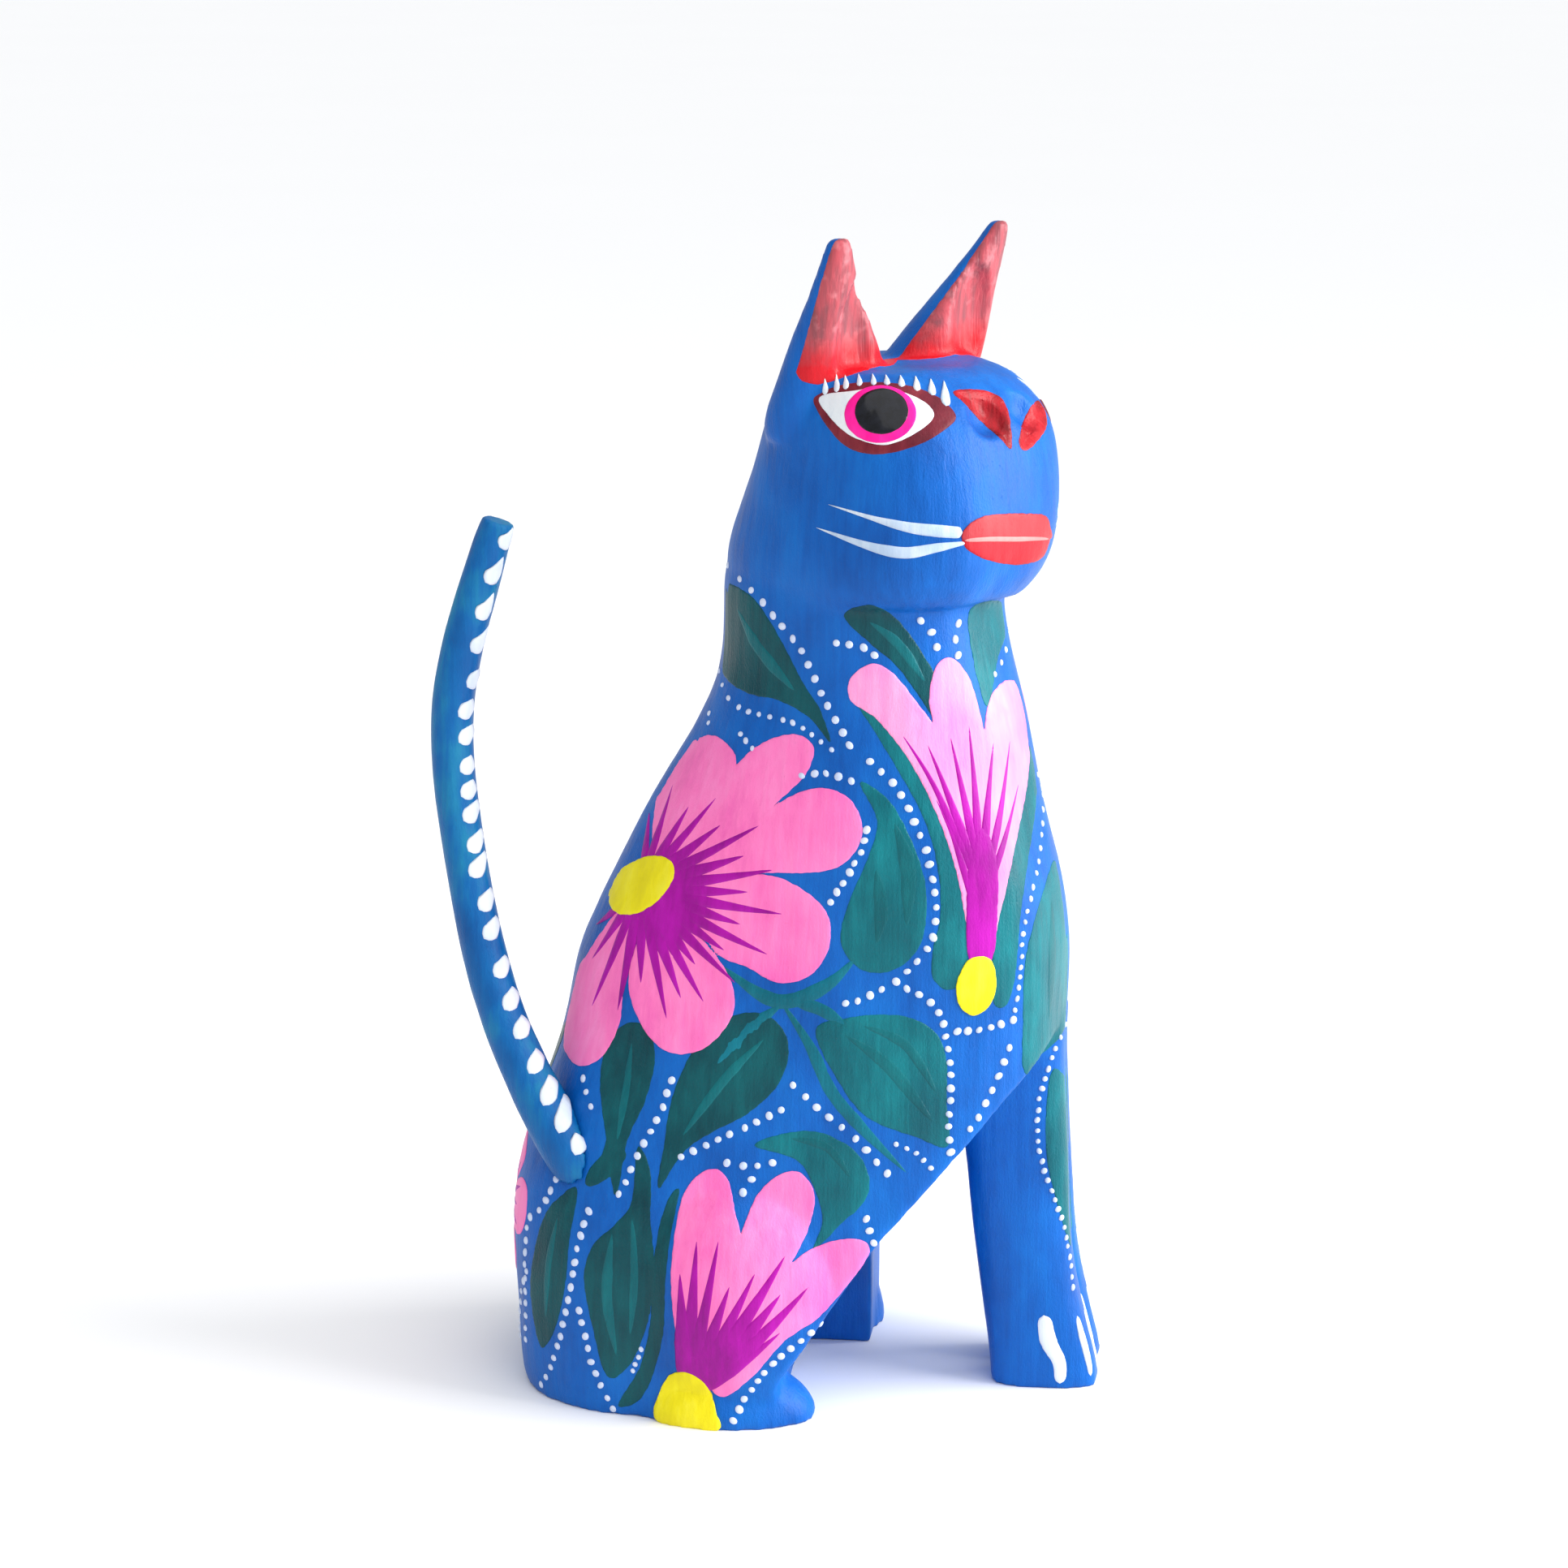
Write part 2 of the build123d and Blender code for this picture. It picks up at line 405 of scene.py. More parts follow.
def stroke_mesh(path, normals, widths, base, rise):
    """A brush stroke along places on a skin: a tapered strip with a domed back, as points and faces."""
    ribs = (-1.0, -0.8, -0.45, 0.0, 0.45, 0.8, 1.0)
    count = len(path)
    sides = unit(np.cross(normals, unit(np.gradient(path, axis=0))))
    points, faces = [], []
    for place, normal, side, width in zip(path, normals, sides, widths):
        thick = rise * min(1.0, width / 1.2)
        for rib in ribs:
            lift = base + thick * (1 - rib * rib) if abs(rib) < 1 else -SUNK
            points.append(place + side * rib * width / 2 + normal * lift)
    last = len(ribs)
    for i in range(count - 1):
        for k in range(last - 1):
            a = i * last + k
            faces.append((a, a + last, a + last + 1, a + 1))
        faces.append((i * last + last - 1, (i + 1) * last + last - 1, (i + 1) * last, i * last))
    faces.append(tuple(range(last)))
    faces.append(tuple((count - 1) * last + k for k in reversed(range(last))))
    return points, faces


def join_parts(parts):
    """Several (points, faces) as one."""
    points, faces = [], []
    for some, corners in parts:
        start = len(points)
        points += list(some)
        faces += [tuple(i + start for i in face) for face in corners]
    return points, faces


def rounded_widths(count, profile, ends):
    """Widths along a stroke from a few even values, rounded at both ends."""
    along = np.linspace(0, 1, count)
    widths = np.interp(along, np.linspace(0, 1, len(profile)), profile)
    head, foot = ends
    first = np.sqrt(np.clip(1 - (1 - np.clip(along / head, 0, 1)) ** 2, 0, 1))
    final = np.sqrt(np.clip(1 - (1 - np.clip((1 - along) / foot, 0, 1)) ** 2, 0, 1))
    return np.maximum(widths * first * final, 0.04)


def open_line(points):
    """A smooth open line through (across, up) points, and the length along it at each of its points."""
    line = curve_through(points, 8, closed=False)
    return line, np.concatenate([[0], np.cumsum(np.linalg.norm(np.diff(line, axis=0), axis=1))])


def side_stroke(surface, chart, points, profile, base=0.0, rise=0.22, ends=(0.12, 0.12), steps=None):
    """A brush stroke laid out by (across, up) points. Returns points and faces."""
    line, lengths = open_line(points)
    steps = steps or max(10, int(lengths[-1] / STROKE_STEP))
    at = np.linspace(0, lengths[-1], steps)
    flat = np.stack([np.interp(at, lengths, line[:, k]) for k in range(2)], 1)
    found = [surface.from_side(across, up, chart) for across, up in flat]
    keep = [i for i, place in enumerate(found) if place is not None]
    if len(keep) < SHORTEST_STROKE:
        return [], []
    path = np.array([found[i][0] for i in keep])
    normals = np.array([found[i][1] for i in keep])
    widths = rounded_widths(steps, profile, ends)[keep]
    return stroke_mesh(path, normals, widths, base, rise)


def dot_mesh(place, normal, width):
    """A bead of paint, a little oval and turned at random. Returns points and faces."""
    across = unit(np.cross(normal, [0.3, 0.2, 0.9]))
    along = np.cross(normal, across)
    around = 12
    rings = ((1.0, -SUNK), (0.96, 0.25), (0.72, 0.72), (0.36, 0.95))
    stretch = 1 + RANDOM.uniform(-0.14, 0.14)
    turn = RANDOM.uniform(0, pi)
    points, faces = [], []
    for reach, height in rings:
        lift = height if height < 0 else DOT_BASE + DOT_RISE * height
        for step in range(around):
            angle = 2 * pi * step / around
            u = cos(angle) * stretch
            v = sin(angle) / stretch
            u, v = u * cos(turn) - v * sin(turn), u * sin(turn) + v * cos(turn)
            points.append(place + (across * u + along * v) * reach * width / 2 + normal * lift)
    points.append(place + normal * (DOT_BASE + DOT_RISE))
    for ring in range(len(rings) - 1):
        for step in range(around):
            a = ring * around + step
            b = ring * around + (step + 1) % around
            faces.append((b, a, a + around, b + around))
    top = len(points) - 1
    last = (len(rings) - 1) * around
    faces += [(last + (step + 1) % around, last + step, top) for step in range(around)]
    faces.append(tuple(range(around)))
    return points, faces


def dot_chain(surface, chart, points, spacing, width):
    """A row of even beads along a smooth line of (across, up) points. Returns points and faces."""
    line, lengths = open_line(points)
    count = round(lengths[-1] / spacing) + 1
    parts = []
    for step in range(count):
        at = lengths[-1] * step / max(count - 1, 1) + RANDOM.uniform(-0.15, 0.15)
        across, up = (np.interp(at, lengths, line[:, k]) for k in range(2))
        found = surface.from_side(across + RANDOM.uniform(-0.12, 0.12), up, chart)
        if found is not None:
            parts.append(dot_mesh(*found, width * RANDOM.uniform(0.84, 1.12)))
    return join_parts(parts)


# ---------------------------------------------------------------- materials

class Nodes:
    """A short way to write a node material."""

    def __init__(self, name):
        self.material = bpy.data.materials.new(name)
        self.material.use_nodes = True
        self.tree = self.material.node_tree
        self.shader = self.tree.nodes["Principled BSDF"]
        self.place = self.tree.nodes.new("ShaderNodeTexCoord").outputs["Object"]

    def add(self, kind, **inputs):
        return self.fill(self.tree.nodes.new(kind), inputs)

    def shade(self, **inputs):
        """Sets the shader's inputs, by their names with _ for each space."""
        self.fill(self.shader, inputs)

    def fill(self, node, inputs):
        for name, value in inputs.items():
            self.put(node.inputs[name.replace("_", " ")], value)
        return node

    def put(self, socket, value):
        if isinstance(value, bpy.types.NodeSocket):
            self.tree.links.new(value, socket)
        else:
            socket.default_value = value

    def stretched(self, scale):
        """Coordinates in millimetres divided by scale along each axis."""
        node = self.add("ShaderNodeMapping", Vector=self.place)
        node.inputs["Scale"].default_value = [1000.0 / s for s in scale]
        return node.outputs[0]

    def noise(self, vector, detail=3.0, roughness=0.55, distortion=0.0):
        return self.add(
            "ShaderNodeTexNoise", Vector=vector, Scale=1.0, Detail=detail,
            Roughness=roughness, Distortion=distortion,
        ).outputs["Fac"]

    def range(self, value, low, high, to_low=0.0, to_high=1.0):
        return self.add(
            "ShaderNodeMapRange", Value=value, From_Min=low, From_Max=high,
            To_Min=to_low, To_Max=to_high,
        ).outputs[0]

    def mix(self, factor, a, b):
        node = self.tree.nodes.new("ShaderNodeMix")
        node.data_type = "RGBA"
        self.put(node.inputs[0], factor)
        self.put(node.inputs[6], a)
        self.put(node.inputs[7], b)
        return node.outputs[2]

    def sum(self, *terms):
        """The sum of (socket, weight) pairs."""
        total = None
        for socket, weight in terms:
            node = self.add("ShaderNodeMath")
            node.operation = "MULTIPLY_ADD"
            self.put(node.inputs[0], socket)
            node.inputs[1].default_value = weight
            if total is None:
                node.inputs[2].default_value = 0.0
            else:
                self.put(node.inputs[2], total)
            total = node.outputs[0]
        return total

    def bump(self, height, strength, distance):
        node = self.add("ShaderNodeBump", Height=height, Strength=strength, Distance=distance)
        self.shade(Normal=node.outputs[0])


def srgb(red, green, blue):
    """A colour given as 0 to 255 in sRGB, as Blender's linear colour."""
    def linear(value):
        value /= 255
        return value / 12.92 if value <= 0.04045 else ((value + 0.055) / 1.055) ** 2.4

    return (linear(red), linear(green), linear(blue), 1.0)


def painted(name, dark, middle, light, roughness=0.42, streak=12.0, grain=0.5, contrast=1.0):
    """Satin acrylic on carved wood: brush streaks, thin and thick patches, wood grain and small pits,
    which are darkened as painted shade. The colours are 0 to 255 in sRGB."""
    dark, middle, light = srgb(*dark), srgb(*middle), srgb(*light)
    n = Nodes(name)
    brush = n.noise(n.stretched((1.1, 1.1, streak)), 3.0, 0.5, 0.4)
    broad = n.noise(n.stretched((10.0, 10.0, 15.0)), 3.0)
    fibre = n.noise(n.stretched((0.42, 0.42, 11.0)), 3.0, 0.65)
    ridge = n.noise(n.stretched((1.8, 1.8, 30.0)), 2.0)
    pits = n.noise(n.stretched((0.35, 0.35, 0.6)), 2.0, 0.6)
    shaded_pits = n.range(pits, 0.70, 0.78)
    tone = n.range(n.sum((brush, 0.28), (broad, 0.72)), 0.5 - 0.2 / contrast, 0.5 + 0.2 / contrast)
    lower = n.mix(n.range(tone, 0.0, 0.5), dark, middle)
    colour = n.mix(n.range(tone, 0.5, 1.0), lower, light)
    # Painted shade: the small pits are darkened towards the dark colour.
    colour = n.mix(n.sum((shaded_pits, 0.3)), colour, dark)
    rough = n.range(n.sum((brush, 0.5), (broad, 0.5)), 0.3, 0.7, roughness - 0.08, roughness + 0.1)
    n.shade(Base_Color=colour, Roughness=rough, Specular_IOR_Level=0.2, Coat_Weight=0.02, Coat_Roughness=0.3)
    rough_grain = n.sum((fibre, 0.5 * grain), (ridge, 0.8 * grain), (pits, 0.7 * grain))
    n.bump(n.sum((rough_grain, 1.0), (brush, 0.25), (shaded_pits, -0.4)), 0.6, 0.0004)
    return n.material


def ear_paint():
    """Red at an ear's root, brushed out to a pale pink with grey streaks."""
    n = Nodes("ear_paint")
    height = n.add("ShaderNodeSeparateXYZ", Vector=n.place).outputs["Z"]
    cloud = n.noise(n.stretched((3.0, 3.0, 4.0)), 3.0)
    streak = n.noise(n.stretched((1.6, 1.6, 16.0)), 2.0)
    fibre = n.noise(n.stretched((0.5, 0.5, 8.0)), 3.0, 0.6)
    level = n.sum((height, 1000.0), (cloud, -9.0))
    pink = n.mix(n.range(streak, 0.36, 0.62), srgb(136, 68, 76), srgb(186, 76, 86))
    pink = n.mix(n.range(cloud, 0.52, 0.75), pink, srgb(206, 124, 130))
    colour = n.mix(n.range(level, 176.5, 181.5), srgb(198, 10, 28), pink)
    rough = n.range(cloud, 0.3, 0.7, 0.3, 0.46)
    n.shade(Base_Color=colour, Roughness=rough, Specular_IOR_Level=0.25)
    n.bump(n.sum((fibre, 0.5), (streak, 0.8), (cloud, 0.6)), 0.5, 0.0004)
    return n.material


def enamel(name, colour, shade):
    """A glossy drop of enamel."""
    n = Nodes(name)
    cloud = n.noise(n.stretched((1.5, 1.5, 1.5)), 2.0)
    mixed = n.mix(n.range(cloud, 0.35, 0.65), srgb(*colour), srgb(*shade))
    rough = n.range(cloud, 0.3, 0.7, 0.12, 0.22)
    n.shade(Base_Color=mixed, Roughness=rough, Specular_IOR_Level=0.25, Coat_Weight=0.1)
    n.bump(cloud, 0.2, 0.0001)
    return n.material


BLUE = painted("blue_paint", (0, 74, 154), (0, 90, 176), (4, 104, 190))
TAIL_BLUE = painted("tail_blue_paint", (0, 72, 138), (0, 94, 160), (24, 124, 164), streak=30.0)
PINK = painted("pink_paint", (232, 96, 172), (246, 118, 184), (248, 138, 196), 0.45, grain=0.35)
CHEST_PINK = painted("pale_pink_paint", (240, 118, 186), (248, 142, 198), (250, 166, 210), 0.45, grain=0.35)
MAGENTA = painted("magenta_paint", (126, 0, 118), (160, 0, 148), (184, 10, 172), 0.45, grain=0.35)
YELLOW = painted("yellow_paint", (214, 198, 10), (232, 218, 20), (240, 230, 60), 0.45, grain=0.3)
# One leaf green in two copies: a darker one as painted shade for the leaves away from the light, and a
# lighter one as painted light for the lit leaves.
SHADED_GREEN = painted("shaded_green_paint", (0, 52, 62), (0, 70, 78), (0, 88, 94), 0.36, grain=0.6)
LIT_GREEN = painted("lit_green_paint", (0, 78, 90), (0, 98, 108), (8, 122, 130), 0.34, grain=0.6)
# Green for the lighter leaf strokes: partly brushwork, partly painted sheen where light falls on the leaves.
LEAF_STROKE_AND_SHEEN_GREEN = painted("leaf_glow_paint", (0, 76, 86), (0, 92, 100), (8, 110, 116), 0.36, grain=0.6)
STEM_TEAL = painted("stem_paint", (0, 84, 100), (0, 106, 124), (10, 124, 142), 0.36, grain=0.6)
WHITE = painted("dot_paint", (176, 190, 222), (200, 210, 232), (214, 222, 238), 0.45, grain=0.2)
TAIL_WHITE = painted("tail_mark_paint", (196, 208, 224), (214, 222, 234), (226, 232, 240), 0.45, grain=0.25)
EYE_WHITE = painted("eye_white_paint", (200, 212, 224), (222, 228, 232), (230, 232, 234), 0.4, grain=0.25)
WHISKER_WHITE = painted("whisker_paint", (172, 192, 216), (200, 212, 226), (220, 226, 232), 0.42,
                        grain=0.3, contrast=1.6)
RED = painted("red_paint", (112, 12, 20), (164, 14, 28), (196, 44, 52), 0.34, grain=0.4, contrast=1.5)
MAROON = painted("maroon_paint", (78, 14, 30), (104, 22, 38), (134, 44, 54), 0.42, grain=0.3)
LIP_UPPER = painted("upper_lip_paint", (156, 38, 46), (174, 50, 58), (192, 70, 74), 0.4, grain=0.3)
LIP_LOWER = painted("lower_lip_paint", (162, 12, 28), (178, 22, 38), (194, 44, 54), 0.4, grain=0.3)
LIP_LINE = painted("lip_line_paint", (228, 110, 112), (238, 134, 132), (242, 150, 146), 0.4, grain=0.2)
HOT_PINK = painted("iris_paint", (226, 8, 128), (244, 20, 146), (250, 50, 164), 0.38, grain=0.2)
BLACK = enamel("pupil_paint", (12, 13, 18), (22, 24, 32))
EAR_RED = ear_paint()


# ---------------------------------------------------------------- the carved skin

def weathered(points, triangles):
    """The skin with gouged nostrils, shallow knife facets and the raised grain of the wood."""
    normals = point_normals(points, triangles)
    gouge = np.clip(chart_field(head_chart("right"), NOSTRILS)(points, normals) / NOSTRIL_SLOPE, 0, 1)
    points = points - normals * (NOSTRIL_DEPTH * (1 - (1 - gouge) ** 2))[:, None]
    normals = point_normals(points, triangles)
    shift = []
    for x, y, z in points.tolist():
        knife = noise.noise(Vector((x / 8, y / 8, z / 14)))
        grain = noise.noise(Vector((x / 1.7, y / 1.7, z / 26 + 9)))
        shift.append(SKIN_FACETS * knife + SKIN_GRAIN * grain)
    moved = points + normals * np.array(shift)[:, None]
    moved[:, 2] = np.maximum(moved[:, 2], 0.0)
    return moved


def distances(points, name):
    """How far each point is from a CAD node's surface, up to 12 mm."""
    corners, triangles = arrays_of(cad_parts[name])
    tree = BVHTree.FromPolygons(corners.tolist(), triangles.tolist())
    found = []
    for point in points.tolist():
        _, _, _, distance = tree.find_nearest(Vector(point), 12.0)
        found.append(12.0 if distance is None else distance)
    return np.array(found)


def capped(points, triangles, rim):
    """A cut mesh closed with a fan over each open edge."""
    following = dict(rim.tolist())
    points, faces = list(points), triangles.tolist()
    while following:
        start, here = following.popitem()
        loop = [start]
        while here != start and here in following:
            loop.append(here)
            here = following.pop(here)
        points.append(np.mean([points[i] for i in loop], 0))
        hub = len(points) - 1
        faces += [(loop[(i + 1) % len(loop)], loop[i], hub) for i in range(len(loop))]
    return np.array(points), faces


def close_to(points, name):
    """Which points lie within 3 mm of a CAD node's box."""
    low, high = (np.array(corner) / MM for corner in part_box(name))
    return ((points > low - 3) & (points < high + 3)).all(1)


def cut_piece(name, node, whole, values):
    """The part of the whole skin where values are over 0, in place of a CAD node. It keeps the whole
    skin's normals, so that no shade shows along the cut."""
    points, triangles, rim, (normals,) = clipped(whole.points, whole.triangles, values, [whole.normals])
    closed_points, faces = capped(points, triangles, rim)
    piece = new_piece(name, closed_points, faces, BLUE)
    hubs = np.tile([0.0, 0.0, 1.0], (len(closed_points) - len(points), 1))
    normals = np.concatenate([unit(normals), hubs])
    piece.data.normals_split_custom_set_from_vertices(normals.tolist())
    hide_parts(node)


def carving_pieces():
    """The carved pieces, cut from one continuous skin so that the paint hides their joints."""
    limbs = ["front_leg_right", "front_leg_left", "ear_right", "ear_left"]
    points, triangles = remeshed(["torso_block", *limbs], SKIN_VOXEL, 5)
    points = weathered(points, triangles)
    whole = Surface(points, triangles)
    to_torso = distances(points, "torso_block")
    limb_values = []
    for name in limbs:
        near = close_to(points, name)
        values = np.full(len(points), FAR_OUTSIDE)
        values[near] = to_torso[near] - distances(points[near], name) - LIMB_MARGIN
        limb_values.append(values)
        cut_piece(f"{name}_carved", name, whole, values)
    cut_piece("torso_carved", "torso_block", whole, -np.max(limb_values, 0))
    return whole


# ---------------------------------------------------------------- paint layouts, (across, up) in millimetres

DAISY_HEART = (-22.4, 90.4)
DAISY_HEART_HALVES, DAISY_HEART_LEAN = (7.3, 3.3), radians(42)
DAISY_PETALS = [
    [(-20, 94), (-20, 104), (-16.5, 111), (-10.5, 116.5), (-6.2, 114.5), (-7.5, 110), (-14, 100)],
    [(-18, 95), (-11, 104.5), (-7.3, 111), (-2.5, 116.5), (3.5, 119.3), (7, 117.6), (5.6, 112.8),
     (0.5, 107.4), (-8, 99)],
    [(-16, 93), (-8, 100), (0.8, 107.4), (7.4, 110.8), (12.8, 109.6), (15.2, 104.5), (13, 99.4), (8, 96.8),
     (-3, 95.6)],
    [(-15, 92), (-3, 95.4), (4, 94.2), (9.2, 90), (9.6, 84), (6.4, 79), (1, 77.4), (-4, 79.6), (-9.8, 82)],
    [(-18, 88), (-10, 81.6), (-6.6, 76), (-7, 70.6), (-11.6, 65.2), (-17.6, 64), (-22.2, 67.6),
     (-24.6, 74.8), (-22, 84)],
    [(-22.6, 86), (-25.4, 75.4), (-26.2, 67.4), (-29.4, 61.2), (-34, 58.6), (-37, 61.6), (-36.6, 68),
     (-32, 77), (-26, 86)],
]
# Each ray of the daisy: its direction in degrees, its length and its width.
DAISY_RAYS = [
    (72, 18, 1.5), (60, 17, 1.6), (52, 21, 1.4), (42, 19, 1.7), (33, 25, 1.4), (24, 20, 1.8), (15, 24, 1.5),
    (6, 19, 1.7), (-3, 25, 1.5), (-12, 18, 1.8), (-21, 24, 1.5), (-30, 17, 1.8), (-40, 21, 1.6),
    (-50, 15, 1.9), (-58, 21, 1.6), (-68, 19, 1.8), (-78, 22, 1.5), (-90, 16, 1.8), (-101, 22, 1.6),
    (-112, 24, 1.5), (-122, 17, 1.5), (-133, 12, 1.5), (84, 11, 1.4),
]

CHEST_PETALS = [
    [(32.9, 88), (31, 97), (27.6, 107), (23, 116), (17.6, 122.8), (13.2, 125.8), (13.2, 129.6),
     (16.6, 132.2), (20.2, 130.6), (24.6, 125.2), (28.6, 119.4), (32, 112), (35, 100), (35.4, 90)],
    [(33.4, 94), (31, 108), (28, 118.5), (26.2, 126), (27.4, 131.6), (30, 132.8), (33, 129), (35.2, 121.5),
     (37, 112), (37.6, 98)],
    [(34.6, 88), (35, 104), (35.4, 117), (36.4, 124.6), (39.4, 127.2), (42.6, 124.6), (44, 118),
     (43.2, 109.6), (40.8, 100), (38.4, 90), (36.8, 83)],
]
CHEST_THROAT = [(33.2, 82), (32.6, 92), (33, 99), (35, 104.5), (37.6, 99.5), (37.9, 91), (37, 82)]
CHEST_RAYS = [
    ((34.2, 96), (27, 112), (21, 121.5), 1.3),
    ((34.4, 97), (29.5, 110), (25.6, 119.6), 1.5),
    ((34.6, 98), (32, 110), (29.6, 120.6), 1.5),
    ((34.8, 98), (34, 110), (32.8, 122.4), 1.4),
    ((35.4, 98), (36.2, 109), (37.2, 119), 1.5),
    ((36.2, 97), (38.4, 107), (40.2, 118.6), 1.4),
    ((36.6, 95), (39.4, 103), (41.8, 111), 1.2),
    ((33.8, 92), (30.4, 103), (27, 110.5), 1.2),
]
CHEST_BASE = [(33.2, 82.4), (31.2, 78.6), (31.4, 74.6), (34, 72.4), (36.8, 74.2), (37.8, 78), (36.6, 82.2)]

HAUNCH_PETALS = [
    [(-15.4, 12), (-17.2, 26), (-15.8, 38), (-13.4, 43), (-10.2, 45), (-7.6, 43.6), (-6.4, 39), (-5.4, 33),
     (-8, 22), (-12.5, 11)],
    [(-13, 12), (-9, 24), (-5.4, 34.6), (-2.6, 40.8), (1, 44.4), (4.6, 45.2), (7.2, 41.6), (6.2, 35.6),
     (2.8, 29.4), (-3, 20), (-9.5, 11)],
    [(-11, 10), (-5, 19), (2.6, 29.4), (8.4, 32.8), (14.4, 33.8), (16.6, 31.6), (13.6, 26.6), (8.2, 20.6),
     (2, 16.6), (-3, 10.4), (-8.4, 5.6)],
]
HAUNCH_RAYS = [(92, 24, 2.2), (86, 30, 2), (79, 31, 1.7), (71, 24, 1.9), (64, 28, 1.8), (58, 33, 2.2),
               (52, 27, 2.6), (46, 31, 2.2), (41, 22, 1.7)]
HAUNCH_HEART = (-14.8, 4.2)
HAUNCH_BASE = [(-19.6, 0.2), (-19.4, 5), (-17.4, 8.8), (-14, 9.8), (-11, 7.4), (-9.6, 3.2), (-9.4, 0.2)]

# These leaves take the darker green, which is painted shade.
SHADED_BACK_LEAVES = [
    # neck, behind and in front
    [(-8.6, 141.6), (-4, 141.8), (-0.6, 138.2), (2.2, 133.6), (5.4, 127.8), (8, 124), (9.8, 118.6),
     (6.2, 122.4), (1, 124.6), (-4, 124.8), (-8.8, 127), (-9.8, 134)],
    [(12, 140), (15.4, 142.4), (18.6, 141.6), (22, 138.4), (25, 134), (27.6, 128.8), (28.4, 121),
     (25.2, 125.8), (21, 131.6), (16.4, 135.6)],
    # flank
    [(-1.8, 72), (1.8, 69.6), (2.8, 65), (0.6, 59.4), (-4.4, 54.6), (-9.6, 51.6), (-15, 47.6), (-19.4, 41),
     (-18.4, 48.6), (-17, 56.6), (-13, 65.4), (-7.4, 70.8)],
    [(-26.6, 66.4), (-23, 68.2), (-20.4, 65.8), (-20.2, 61), (-22, 54.6), (-24.8, 48.4), (-26.8, 39),
     (-28.4, 47.6), (-29.6, 56.4), (-28.8, 62.6)],
    # haunch
    [(-33.6, 39), (-36.4, 37.4), (-39.2, 33.6), (-41.2, 27.2), (-42.2, 19), (-40.6, 9.8), (-38.6, 11.6),
     (-36.8, 17), (-35.6, 23.6), (-35, 30.2)],
    [(-23, 47.6), (-20.8, 43.6), (-20.8, 36), (-20.2, 28.6), (-20.8, 20.6), (-22.6, 13.8), (-25.2, 8.8),
     (-28.6, 7.2), (-31, 16), (-32.4, 24.6), (-30.6, 30.4), (-26.6, 34.6), (-24, 38.6)],
    # the flank leaf's second tip, and a long leaf behind the haunch flower
    [(-27.8, 49.5), (-25, 46), (-27.4, 42.6), (-30.4, 40.2), (-32.2, 40.2), (-31.4, 42.8), (-29.2, 45.6)],
    [(-15.8, 41), (-17.2, 34), (-18.2, 26), (-18.6, 17), (-20.4, 8.6), (-23, 3.2), (-26.6, 1.6),
     (-25.4, 4.6), (-22.8, 9.4), (-21, 17), (-20.4, 26), (-19.4, 34), (-17.6, 39.6)],
]
# These leaves take the lighter green, which is painted light.
LIT_FRONT_LEAVES = [
    # neck and flank
    [(32.8, 139), (35, 141.4), (38.8, 140), (40.2, 135.6), (38.2, 131.4), (36.2, 124), (34, 130.6)],
    [(14.6, 112.4), (19.6, 109.4), (23.2, 103.2), (25.6, 96), (25.8, 89), (24.2, 83.8), (20, 80.4),
     (14.8, 80.6), (11.6, 85), (12.8, 91.6), (16, 99.4), (17.6, 106)],
    [(7.4, 69.6), (13.2, 72.2), (21.6, 72.8), (27.2, 70.2), (29.4, 65.4), (29.6, 57.8), (29.8, 49.8),
     (24.4, 51.6), (16.2, 55), (11.6, 60.6)],
    # over the haunch, chest front and leg
    [(-3, 49.4), (2.4, 51.8), (8, 52.2), (13.8, 49.4), (16.4, 45), (15.8, 40.6), (11.8, 36.4), (7, 31.8),
     (8.6, 37), (7, 43), (4, 47.4)],
    [(48.6, 96), (50.6, 88), (52, 76), (51.6, 66), (43.6, 60.4), (42.6, 70), (43.4, 84)],
    [(48.4, 58), (52.4, 52.4), (52.6, 38), (53.2, 24), (50.2, 32), (47.6, 44)],
    # the chest flower's long sepals
    [(12.9, 127.5), (17, 121), (21.6, 113.6), (25.4, 106.4), (27.8, 98), (28.2, 90), (27, 84), (27, 79.4),
     (29.4, 77.2), (31.8, 78.6), (33.4, 86), (33, 96), (30, 106), (24, 117), (17, 126.6)],
    [(44, 119), (45.4, 113), (44.8, 105), (43.2, 97), (41.8, 88), (41.2, 79), (39.8, 73.8), (37.6, 74),
     (37, 80), (38.2, 92), (41, 104), (42.8, 113)],
]

# Stems, each with its width.
STEMS = [
    (3, [(-9, 79.8), (-2, 75.2), (3, 74.4), (9.6, 77.8), (14.6, 83)]),
    (2.6, [(1, 75), (6.4, 67), (10, 59.4), (15, 53.4), (22.8, 45.4)]),
    (2.8, [(2, 74), (-4, 69), (-10, 62)]),
    (2.6, [(2, 74.6), (8, 73.4), (13, 70.6)]),
]

